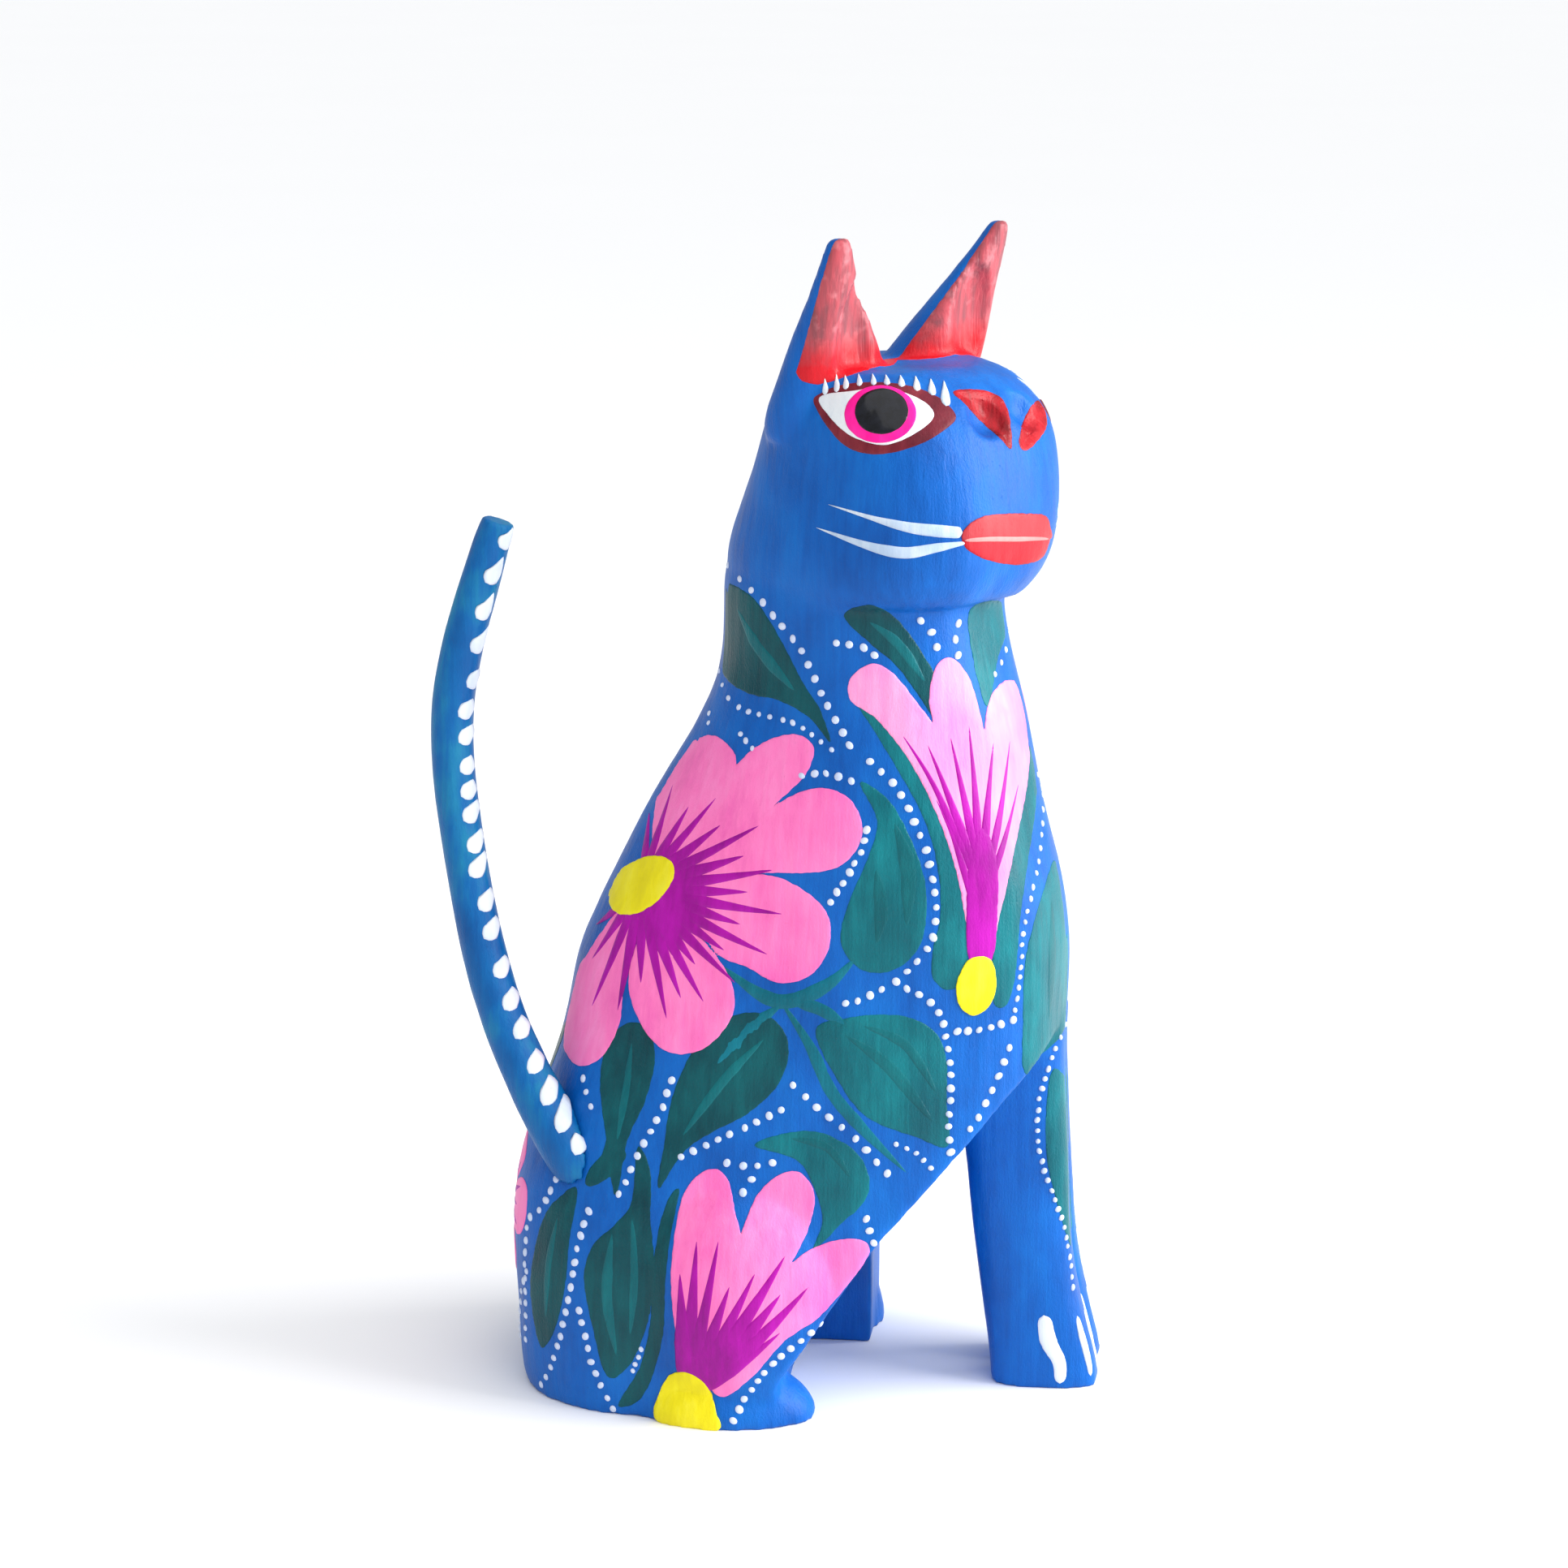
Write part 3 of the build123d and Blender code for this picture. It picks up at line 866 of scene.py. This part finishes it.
# Rows of dots, with the space between their middles.
DOT_CHAINS = [
    # neck
    (2.4, [(-7.4, 145), (-3, 142.2), (2, 137), (5, 133.4), (8.4, 126.6), (13, 118.2)]),
    (1.8, [(-9, 126.4), (-7.6, 123.4), (-5, 122), (0, 121.6), (4.6, 120.8), (10, 117.4)]),
    (1.6, [(-11, 121.2), (-10.8, 118)]),
    (1.2, [(-5.4, 118), (-3.2, 116)]),
    (2, [(5, 112.6), (9, 113.4), (13.2, 112.4)]),
    (2.4, [(24.8, 139.4), (26.4, 137.6), (27.4, 134.8)]),
    (2.6, [(31.2, 138.4), (30.5, 136), (31, 133)]),
    (2.1, [(10.6, 135.4), (14.8, 135), (17.2, 133.6)]),
    (1.7, [(40.2, 134), (39.2, 131), (37.6, 128.8)]),
    # round the chest flower and on down to the knee
    (2.5, [(16.4, 115.8), (20.8, 111.6), (24.2, 105), (26.4, 99), (27.5, 91), (26.4, 85), (21, 78.6)]),
    (2, [(18.4, 77.2), (14.8, 75.2), (12.4, 74.6)]),
    (2.2, [(22.8, 77.4), (27.6, 74.2), (29.8, 67), (30.3, 60), (30, 52), (30.4, 48.6)]),
    (1.9, [(46.4, 110), (45.8, 100), (44.2, 93), (42.4, 86), (42, 79), (40.9, 70.6)]),
    (2.1, [(31.2, 69.8), (35.4, 69.8), (40.8, 70.8)]),
    (2.7, [(40.2, 66), (39, 62.4), (36, 56.2), (33.6, 52.4)]),
    # leg
    (1.9, [(50.8, 65.4), (48.4, 60.2), (46.3, 53), (46.4, 44), (48.6, 36.4), (51.2, 29), (52.8, 18)]),
    # beside the daisy
    (2.1, [(15.9, 104.4), (14.8, 100.4), (12.4, 96), (10, 91.8)]),
    # over the haunch
    (2.4, [(-15.6, 46.6), (-10, 49.6), (-4.2, 52.6), (1.6, 55.8)]),
    (2.6, [(3.6, 60.2), (8.2, 56), (13.8, 51.6), (19.6, 45.2)]),
    (1.9, [(21, 50.4), (24.4, 48.8), (27, 46)]),
    (2.5, [(-7.6, 46.2), (-3.6, 45.8), (0.2, 46.6)]),
    (2.6, [(-3.4, 43.6), (-5, 41.4)]),
    (2.2, [(15.9, 37.4), (16.5, 35.2), (17.4, 33)]),
    (2.1, [(8.4, 18.8), (3.2, 15.2), (-0.8, 11.4), (-4.2, 6.2), (-6.8, 1.8)]),
    # behind the haunch
    (2.3, [(-31.6, 35.8), (-33.6, 29), (-34.8, 22), (-36.6, 13.2), (-38.6, 6.2), (-40.6, 2)]),
    (2.4, [(-33.4, 18.4), (-32.1, 13), (-30.6, 7.6), (-27.6, 1)]),
    (1.5, [(-22.4, 12.8), (-24.1, 8.6)]),
    (2.5, [(-17.2, 59.4), (-18.9, 54.2), (-21.6, 48.8), (-26.2, 39.4)]),
    (2, [(-32.8, 57), (-31.2, 52.8)]),
    (2.3, [(-36.6, 44.4), (-37.4, 39.6), (-40.2, 34.2), (-42.6, 30.6), (-43.2, 22), (-43.2, 9)]),
]

# The head's marks, in its tilted view.
EYE_RIM = [(7, 166.4), (8.2, 168), (12, 169.3), (18.6, 169.5), (23.8, 168.6), (28, 166.6), (30.3, 163.8),
           (28.6, 161.6), (24.4, 159), (18.4, 157.4), (13.4, 158.2), (9.8, 161.4)]
EYE_BALL = [(8, 167.3), (13.4, 168), (18.4, 168.5), (22.8, 167.2), (26, 165.2), (26.3, 163), (22.8, 160.3),
            (19, 158.9), (15.6, 159.4), (12.4, 161), (9.6, 163.9)]
IRIS_MIDDLE, IRIS_HALVES = (17.9, 164), (5.8, 4.8)
PUPIL_MIDDLE, PUPIL_HALVES = (18.1, 164.4), (4.3, 3.8)
LEFT_EYE_SHIFT = (-2.8, -2.2)
# Each lash: across, its low end, its tip and its width.
LASHES = [(8.9, 167.6, 170.4, 1.2), (10.8, 167.9, 171.1, 1.2), (12.3, 168.3, 170.9, 1.2),
          (14.5, 168.8, 171.1, 1.1), (16.8, 168.9, 171.1, 1.1), (19, 168.9, 170.9, 1.2),
          (21.4, 168.6, 170.8, 1.3), (23.9, 167.9, 170.7, 1.4), (26.4, 167.2, 170.3, 1.5),
          (28.6, 165.4, 170, 1.9)]
LIPS = [(31.3, 143.3), (32.2, 145.8), (34.8, 147.4), (38.9, 148.1), (43.4, 148.4), (45.8, 148.2),
        (46.7, 146.4), (46.6, 142.6), (44.6, 140.8), (41, 139.9), (36.4, 140.2), (33, 141.4)]
UPPER_LIP = [(31.3, 143.6), *LIPS[1:7], (46.6, 144.6), (40, 144), (35, 143.7)]
MOUTH_LINE = [(31.6, 143.4), (36, 143.8), (41, 144.1), (46.4, 144.6)]
NOSTRILS = [
    [(30, 168.2), (33.4, 168.8), (36.8, 168.4), (38.7, 166.8), (39.5, 164), (39.7, 159), (37.4, 160.9),
     (34, 164.1), (31.4, 166.5)],
    [(45, 168.2), (46.2, 166.4), (46.2, 163.4), (43.8, 160), (42, 158.8), (41, 160), (41.6, 162.7),
     (43, 165.9)],
]
UPPER_WHISKER = [(31.4, 144.6), (26.7, 144.9), (22.6, 145.4), (18.2, 146.5), (13.6, 148), (9.4, 149.5)]
UPPER_WHISKER_WIDTHS = (2.1, 2.3, 2.1, 1.6, 0.9, 0.5, 0.1)
LOWER_WHISKER = [(31.9, 143), (27, 142.1), (22.4, 141.3), (18.4, 141.8), (13.6, 143.3), (7.4, 145.8)]
LOWER_WHISKER_WIDTHS = (0.6, 1.6, 2.1, 2.1, 1.4, 0.8, 0.1)
EAR_FACE = [(4, 172.4), (5, 177), (7, 183), (9, 190), (10, 197), (20, 197), (22, 183), (21, 174.6),
            (17.2, 172.8), (12.6, 170.8), (7.6, 169.4), (4.8, 170.2)]

# How low the ears' paint comes in the tilted view, and its lowest height over the ground.
EAR_PAINT_LOW = 169.4
EAR_PAINT_FOOT = {"right": 172.0, "left": 174.6}
# The height where the ears' side edges cross the head's middle, and how far forward they lean per height.
EAR_LINE_FOOT = 191.6
EAR_LINE_LEAN = 0.33

# The back's marks, as seen from behind. A petal or leaf is a direction in degrees, a length and a width.
BACK_HEART, BACK_HEART_HALVES = (2, 31), (4.4, 3.6)
BACK_PETALS = [(6, 15, 10), (64, 14, 9), (118, 14, 9), (174, 15, 10), (238, 14, 9), (304, 14, 9)]
BACK_LEAF_FOOT = (-3, 47)
BACK_SPRIGS = [(92, 34, 9), (60, 20, 7), (124, 22, 8)]
BACK_DOTS = [
    [(-12, 8), (0, 11), (13, 8)],
    [(-12, 20), (-15.6, 31), (-13, 41)],
    [(14, 13), (18.6, 22)],
]
# The back's marks end here, so that none falls on the backs of the front legs.
BACK_REACH = -12.0
# Halves of a petal's and a leaf's outline, as parts of its length and width.
PETAL_SHAPE = [(0.05, 0.1), (0.4, 0.3), (0.72, 0.5), (0.93, 0.38), (1, 0)]
LEAF_SHAPE = [(0, 0.06), (0.25, 0.36), (0.5, 0.5), (0.78, 0.3), (1, 0)]

# The claws: the line of a paw's outer one, and where the front ones stand across its middle.
OUTER_CLAW = [(47.6, 13.6), (48.4, 9), (50.4, 5), (50.6, 1)]
FRONT_CLAWS = (-3.2, 0.0, 3.2)

# The tail's white marks: each one's low end (across, up), and how far over and up its tip lies, before
# MARK_STRETCH draws it out.
MARK_STRETCH = 1.3
TAIL_MARKS = [(-45.9, 148.6, 1.4, 2.2), (-48.4, 142.6, 2, 3), (-50, 136.4, 1.9, 3), (-51, 130.6, 1.8, 2.8),
              (-51.8, 124.4, 1.9, 3), (-53.3, 119.4, 2.6, 2.6), (-53.3, 114.9, 2.4, 2.6),
              (-53.1, 109.8, 2.4, 2.6), (-53, 105.6, 2.4, 2.4), (-52.6, 101.4, 2, 2.8),
              (-51.8, 96.2, 1.8, 3), (-51.6, 92, 2, 3.2), (-50, 86.2, 1.8, 3.2), (-49.2, 81.3, 2, 3.4),
              (-47.4, 74.9, 1.8, 3), (-45.7, 69.3, 1.7, 3.8), (-43.8, 64.5, 1.7, 4.4),
              (-41.4, 58.8, 1.8, 4.6), (-38.9, 53.6, 1.3, 5.4), (-36.2, 49.1, 0.8, 6),
              (-33.4, 45.4, 0.6, 5.2)]
# Thin strokes of lighter green on the leaves, each with its width: partly the paint's own lighter brushwork,
# partly painted sheen on the neck-front and chest-front leaves.
LEAF_STROKES_AND_SHEEN = [
    (3.2, [(20.4, 106), (22.8, 98), (22.6, 88)]), (2.8, [(17.4, 98), (18.4, 91), (17.6, 85)]),
    (2.6, [(12, 69.4), (19.6, 64), (27.4, 54)]), (2, [(15, 71), (22.6, 67.6), (28, 59)]),
    (2.4, [(-27.4, 33), (-28.4, 22), (-26.8, 11)]), (1.8, [(-24, 36), (-23.6, 26), (-24.4, 15)]),
    (2, [(-1, 68), (-8, 60.4), (-15.4, 50)]), (1.8, [(-37, 34), (-38.8, 25), (-39.4, 15)]),
    (2.8, [(-6, 139), (-2.4, 133), (4, 126.4)]), (1.8, [(-24, 65), (-25, 57), (-26.6, 48)]),
    (1.8, [(3, 51), (9.4, 49.6), (13.4, 44.4)]), (2, [(16, 139.4), (21, 135.6), (25.6, 129)]),
    (3.4, [(47.6, 90), (47.8, 78), (47.4, 68)]),
]


def heading(degrees):
    """The unit vector in a direction on a chart."""
    return np.array([cos(radians(degrees)), sin(radians(degrees))])


def strokes_piece(name, parts, material):
    """Strokes or dots as one piece."""
    new_piece(name, *join_parts(parts), material)


def ray_points(heart, degrees, length, start):
    """Three points straight out from a flower's heart."""
    return [np.array(heart) + heading(degrees) * (start + (length - start) * t) for t in (0, 0.5, 1)]


def magenta_rays(name, skin, chart, heart, rays, start):
    """Rays of magenta that fan out from a flower's heart and run together round it."""
    parts = []
    for degrees, length, width in rays:
        line = ray_points(heart, degrees, length, start)
        profile = (1.6 * width, 1.65 * width, 0.95 * width, 0.2)
        parts.append(side_stroke(skin, chart, line, profile, FIRST_COAT - 0.02, 0.1))
    strokes_piece(name, parts, MAGENTA)


def side_flowers(skin, chart, side):
    """The daisy, the chest flower and the haunch flower of one side."""
    for name, petals, material in (
        ("daisy", DAISY_PETALS, PINK),
        ("chest", CHEST_PETALS, CHEST_PINK),
        ("haunch", HAUNCH_PETALS, PINK),
    ):
        field = chart_field(chart, petals)
        paint_film(f"{name}_petals_{side}", skin, field, FIRST_COAT, material, LEAF_COAT)
    magenta_rays(f"daisy_rays_{side}", skin, chart, DAISY_HEART, DAISY_RAYS, 3.0)
    magenta_rays(f"haunch_rays_{side}", skin, chart, HAUNCH_HEART, HAUNCH_RAYS, 4.0)
    parts = []
    for *line, width in CHEST_RAYS:
        profile = (1.3 * width, 1.3 * width, 0.7 * width, 0.2)
        parts.append(side_stroke(skin, chart, line, profile, FIRST_COAT - 0.02, 0.1))
    strokes_piece(f"chest_rays_{side}", parts, MAGENTA)
    throat = chart_field(chart, [CHEST_THROAT])
    paint_film(f"chest_throat_{side}", skin, throat, SECOND_COAT, MAGENTA, FIRST_COAT)
    daisy_disc = disc(DAISY_HEART, DAISY_HEART_HALVES, DAISY_HEART_LEAN)
    for name, outline in (("daisy", daisy_disc), ("chest", CHEST_BASE), ("haunch", HAUNCH_BASE)):
        field = chart_field(chart, [outline])
        paint_film(f"{name}_heart_{side}", skin, field, THIRD_COAT, YELLOW, SECOND_COAT)


def side_leaves(skin, chart, side):
    """The leaves and stems of one side."""
    # The back leaves take the green darkened as painted shade, the front leaves the green lightened as
    # painted light.
    paint_film(f"shaded_back_leaves_{side}", skin, chart_field(chart, SHADED_BACK_LEAVES), LEAF_COAT, SHADED_GREEN)
    paint_film(f"lit_front_leaves_{side}", skin, chart_field(chart, LIT_FRONT_LEAVES), LEAF_COAT, LIT_GREEN)
    # The lighter leaf strokes are partly brushwork and partly painted sheen.
    for name, lines, material, base in (
        ("stems", STEMS, STEM_TEAL, 0.0),
        ("leaf_glow", LEAF_STROKES_AND_SHEEN, LEAF_STROKE_AND_SHEEN_GREEN, LEAF_COAT - 0.02),
    ):
        parts = []
        for width, line in lines:
            parts.append(side_stroke(skin, chart, line, (0.4, width, width, 0.5), base, 0.08))
        strokes_piece(f"{name}_{side}", parts, material)


def side_dots(skin, chart, side):
    """The beads of white paint of one side."""
    parts = []
    for spacing, line in DOT_CHAINS:
        width = SMALL_DOT if spacing < CLOSE_SPACING else LARGE_DOT
        parts.append(dot_chain(skin, chart, line, spacing, width))
    strokes_piece(f"dots_{side}", parts, WHITE)


def fan_shape(foot, degrees, length, width, shape):
    """The outline of a petal or leaf that grows from foot."""
    way = heading(degrees)
    side = np.array([-way[1], way[0]])
    sides = [(along, half) for along, half in shape] + [(along, -half) for along, half in shape[-2::-1]]
    return [np.array(foot) + way * length * along + side * width * half for along, half in sides]


def behind(outlines):
    """A field over the cat's back alone, from outlines as seen from behind."""
    field = chart_field(BACK, outlines)
    return lambda points, normals: np.where(points[:, 0] < BACK_REACH, field(points, normals), FAR_OUTSIDE)


def back_marks(skin):
    """The flower, leaves and dots on the cat's back."""
    leaves = behind([fan_shape(BACK_LEAF_FOOT, *row, LEAF_SHAPE) for row in BACK_SPRIGS])
    # The back's leaves take the green darkened as painted shade.
    paint_film("spine_leaves", skin, leaves, LEAF_COAT, SHADED_GREEN)
    petals = behind([fan_shape(BACK_HEART, *row, PETAL_SHAPE) for row in BACK_PETALS])
    paint_film("spine_petals", skin, petals, FIRST_COAT, PINK, LEAF_COAT)
    rays = []
    for degrees, length, _ in BACK_PETALS:
        rays += [(degrees + turn, 0.7 * length + 0.1 * abs(turn), 1.1) for turn in (-17, 0, 17)]
    magenta_rays("spine_rays", skin, BACK, BACK_HEART, rays, 2.0)
    heart = behind([disc(BACK_HEART, BACK_HEART_HALVES)])
    paint_film("spine_heart", skin, heart, THIRD_COAT, YELLOW, SECOND_COAT)
    parts = [dot_chain(skin, BACK, line, 2.4, LARGE_DOT) for line in BACK_DOTS]
    strokes_piece("spine_dots", parts, WHITE)


def disc(middle, halves, lean=0.0):
    """An oval outline, turned anticlockwise by lean."""
    found = []
    for step in range(12):
        angle = 2 * pi * step / 12
        u, v = halves[0] * cos(angle), halves[1] * sin(angle)
        found.append((middle[0] + u * cos(lean) - v * sin(lean), middle[1] + u * sin(lean) + v * cos(lean)))
    return found


def eye(skin, side):
    """One painted eye with its rim, iris, pupil and lashes. The left one sits a little farther back."""
    chart = head_chart(side)
    shift = LEFT_EYE_SHIFT if side == "left" else (0.0, 0.0)
    coat, base = FIRST_COAT, 0.0
    for name, outline, material in (
        ("rim", EYE_RIM, MAROON),
        ("ball", EYE_BALL, EYE_WHITE),
        ("iris", disc(IRIS_MIDDLE, IRIS_HALVES), HOT_PINK),
        ("pupil", disc(PUPIL_MIDDLE, PUPIL_HALVES), BLACK),
    ):
        field = chart_field(chart, [np.array(outline) + shift])
        paint_film(f"eye_{name}_{side}", skin, field, coat, material, base, ragged=0.05)
        coat, base = coat + 0.1, coat
    lashes = []
    for across, low, high, width in LASHES:
        across, low, high = across + shift[0], low + shift[1], high + shift[1]
        line = [(across, low), (across, (low + high) / 2), (across - 0.15, high)]
        profile = (width, width, width * 0.8, width * 0.4, 0.1)
        lashes.append(side_stroke(skin, chart, line, profile, FIRST_COAT, 0.24, (0.25, 0.05), 14))
    strokes_piece(f"lashes_{side}", lashes, WHISKER_WHITE)


def mouth_and_nose(skin):
    """The lips, the nostrils and the whiskers."""
    right = head_chart("right")
    paint_film("lower_lip", skin, chart_field(right, [LIPS]), FIRST_COAT, LIP_LOWER)
    paint_film("upper_lip", skin, chart_field(right, [UPPER_LIP]), SECOND_COAT, LIP_UPPER, FIRST_COAT)
    line = side_stroke(skin, right, MOUTH_LINE, (0.7, 1.0, 1.0, 0.6), SECOND_COAT, 0.08)
    new_piece("mouth_line", *line, LIP_LINE)
    paint_film("nostrils", skin, chart_field(right, NOSTRILS), FIRST_COAT, RED)
    for side in ("right", "left"):
        chart = head_chart(side)
        parts = [
            side_stroke(skin, chart, UPPER_WHISKER, UPPER_WHISKER_WIDTHS, 0.05, 0.2, (0.04, 0.05)),
            side_stroke(skin, chart, LOWER_WHISKER, LOWER_WHISKER_WIDTHS, 0.05, 0.2, (0.02, 0.05)),
        ]
        strokes_piece(f"whiskers_{side}", parts, WHISKER_WHITE)


def inner_ear(skin, side):
    """The red and pink paint on the front of one ear."""
    chart = head_chart(side)
    outline = curve_through([(across, max(up, EAR_PAINT_LOW)) for across, up in EAR_FACE])

    def field(points, normals):
        values = np.full(len(points), FAR_OUTSIDE)
        near = close_to(points, f"ear_{side}")
        flat, _ = chart.seen(points[near], normals[near])
        edge = (points[near, 2] - EAR_LINE_FOOT) * EAR_LINE_LEAN
        front = (points[near] - HEAD_MIDDLE) @ HEAD_FACING - edge
        inside = np.minimum(front, inside_by(flat, outline))
        values[near] = np.minimum(inside, points[near, 2] - EAR_PAINT_FOOT[side])
        return values

    paint_film(f"ear_paint_{side}", skin, field, FIRST_COAT, EAR_RED)


def claws(skin):
    """The white claw strokes on the front paws: a broad one outside and three thin ones in front."""
    for side, chart in SIDES:
        parts = [side_stroke(skin, chart, OUTER_CLAW, (2.6, 3.2, 2.6, 2.2), 0.0, 0.25)]
        low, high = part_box(f"front_leg_{side}")
        middle = (low.y + high.y) / 2 / MM
        for shift in FRONT_CLAWS:
            line = [(middle + shift, 13.0), (middle + 1.06 * shift, 7.0), (middle + 1.1 * shift, 2.0)]
            parts.append(side_stroke(skin, FRONT, line, (1.0, 1.6, 1.5, 1.0), 0.0, 0.25))
        strokes_piece(f"claws_{side}", parts, EYE_WHITE)


# ---------------------------------------------------------------- the tail

def tail():
    """The whittled tail stick, its peg and its row of white marks."""
    points, triangles = remeshed(["tail"], TAIL_VOXEL, 3)
    normals = point_normals(points, triangles)
    shift = [TAIL_FACETS * noise.noise(Vector((x / 2.4, y / 2.4, z / 14))) for x, y, z in points.tolist()]
    points = points + normals * np.array(shift)[:, None]
    stick = Surface(points, triangles)
    piece = new_piece("tail_carved", points, triangles.tolist(), TAIL_BLUE, "tail")
    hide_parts("tail")
    marks = []
    for across, up, over, rise in TAIL_MARKS:
        middle = (across + 0.65 * over, up + 0.45 * rise)
        tip = (across + MARK_STRETCH * over, up + MARK_STRETCH * rise)
        line = [(across - 0.5, up - 0.3), middle, tip]
        profile = (2.8, 3.4, 2.8, 1.6, 0.3)
        marks.append(side_stroke(stick, RIGHT, line, profile, 0.02, 0.25, (0.3, 0.06), 16))
    new_piece("tail_marks", *join_parts(marks), TAIL_WHITE, "tail")


# ---------------------------------------------------------------- stage, light and camera

def lamp(name, kind, place, power, size):
    """A light that shines at the cat: size is a sun's spread in degrees, or an area's width in metres."""
    data = bpy.data.lights.new(name, kind)
    data.energy = power
    if kind == "SUN":
        data.angle = radians(size)
    else:
        data.size = size
    light = new_object(name, data)
    light.location = place
    light.rotation_euler = (Vector((0.0, 0.0, 0.1)) - Vector(place)).to_track_quat("-Z", "Y").to_euler()


def stage():
    """A pale floor, soft light and the camera."""
    scene = bpy.context.scene
    scene.view_settings.view_transform = "Standard"
    mesh = bpy.data.meshes.new("floor")
    corners = ((-1, -1), (1, -1), (1, 1), (-1, 1))
    mesh.from_pydata([(FLOOR_REACH * x, FLOOR_REACH * y, 0) for x, y in corners], [], [(0, 1, 2, 3)])
    floor = new_object("floor", mesh)
    n = Nodes("floor_paint")
    cloud = n.noise(n.stretched((300.0, 300.0, 300.0)), 2.0)
    n.shade(Base_Color=n.mix(cloud, (0.97, 0.97, 0.975, 1), (0.985, 0.985, 0.99, 1)), Roughness=0.8)
    mesh.materials.append(n.material)
    world = bpy.data.worlds.new("world")
    scene.world = world
    world.use_nodes = True
    sky = world.node_tree.nodes["Background"]
    sky.inputs["Color"].default_value = (0.96, 0.98, 1.0, 1)
    sky.inputs["Strength"].default_value = 0.55
    lamp("key", "SUN", (0.5, -0.45, 1.0), 1.9, 90.0)
    lamp("side", "AREA", (0.8, -0.05, 0.38), 10.5, 0.6)
    data = bpy.data.cameras.new("camera")
    data.lens = LENS
    data.sensor_width = SENSOR_WIDTH
    camera = new_object("camera", data)
    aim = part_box("torso_block")[0].x + CAMERA_AIM
    back = Vector(RIGHT.towards) * CAMERA_DISTANCE
    camera.location = (aim + back.x, back.y, CAMERA_HEIGHT)
    camera.rotation_euler = (pi / 2 - CAMERA_PITCH, 0, SIDE_ANGLE)
    scene.camera = camera


def paint_all(skin):
    """Every mark of paint on the carving."""
    for side, chart in SIDES:
        side_leaves(skin, chart, side)
        side_flowers(skin, chart, side)
        side_dots(skin, chart, side)
        eye(skin, side)
        inner_ear(skin, side)
    back_marks(skin)
    mouth_and_nose(skin)
    claws(skin)


skin = carving_pieces()
paint_all(skin)
tail()
stage()
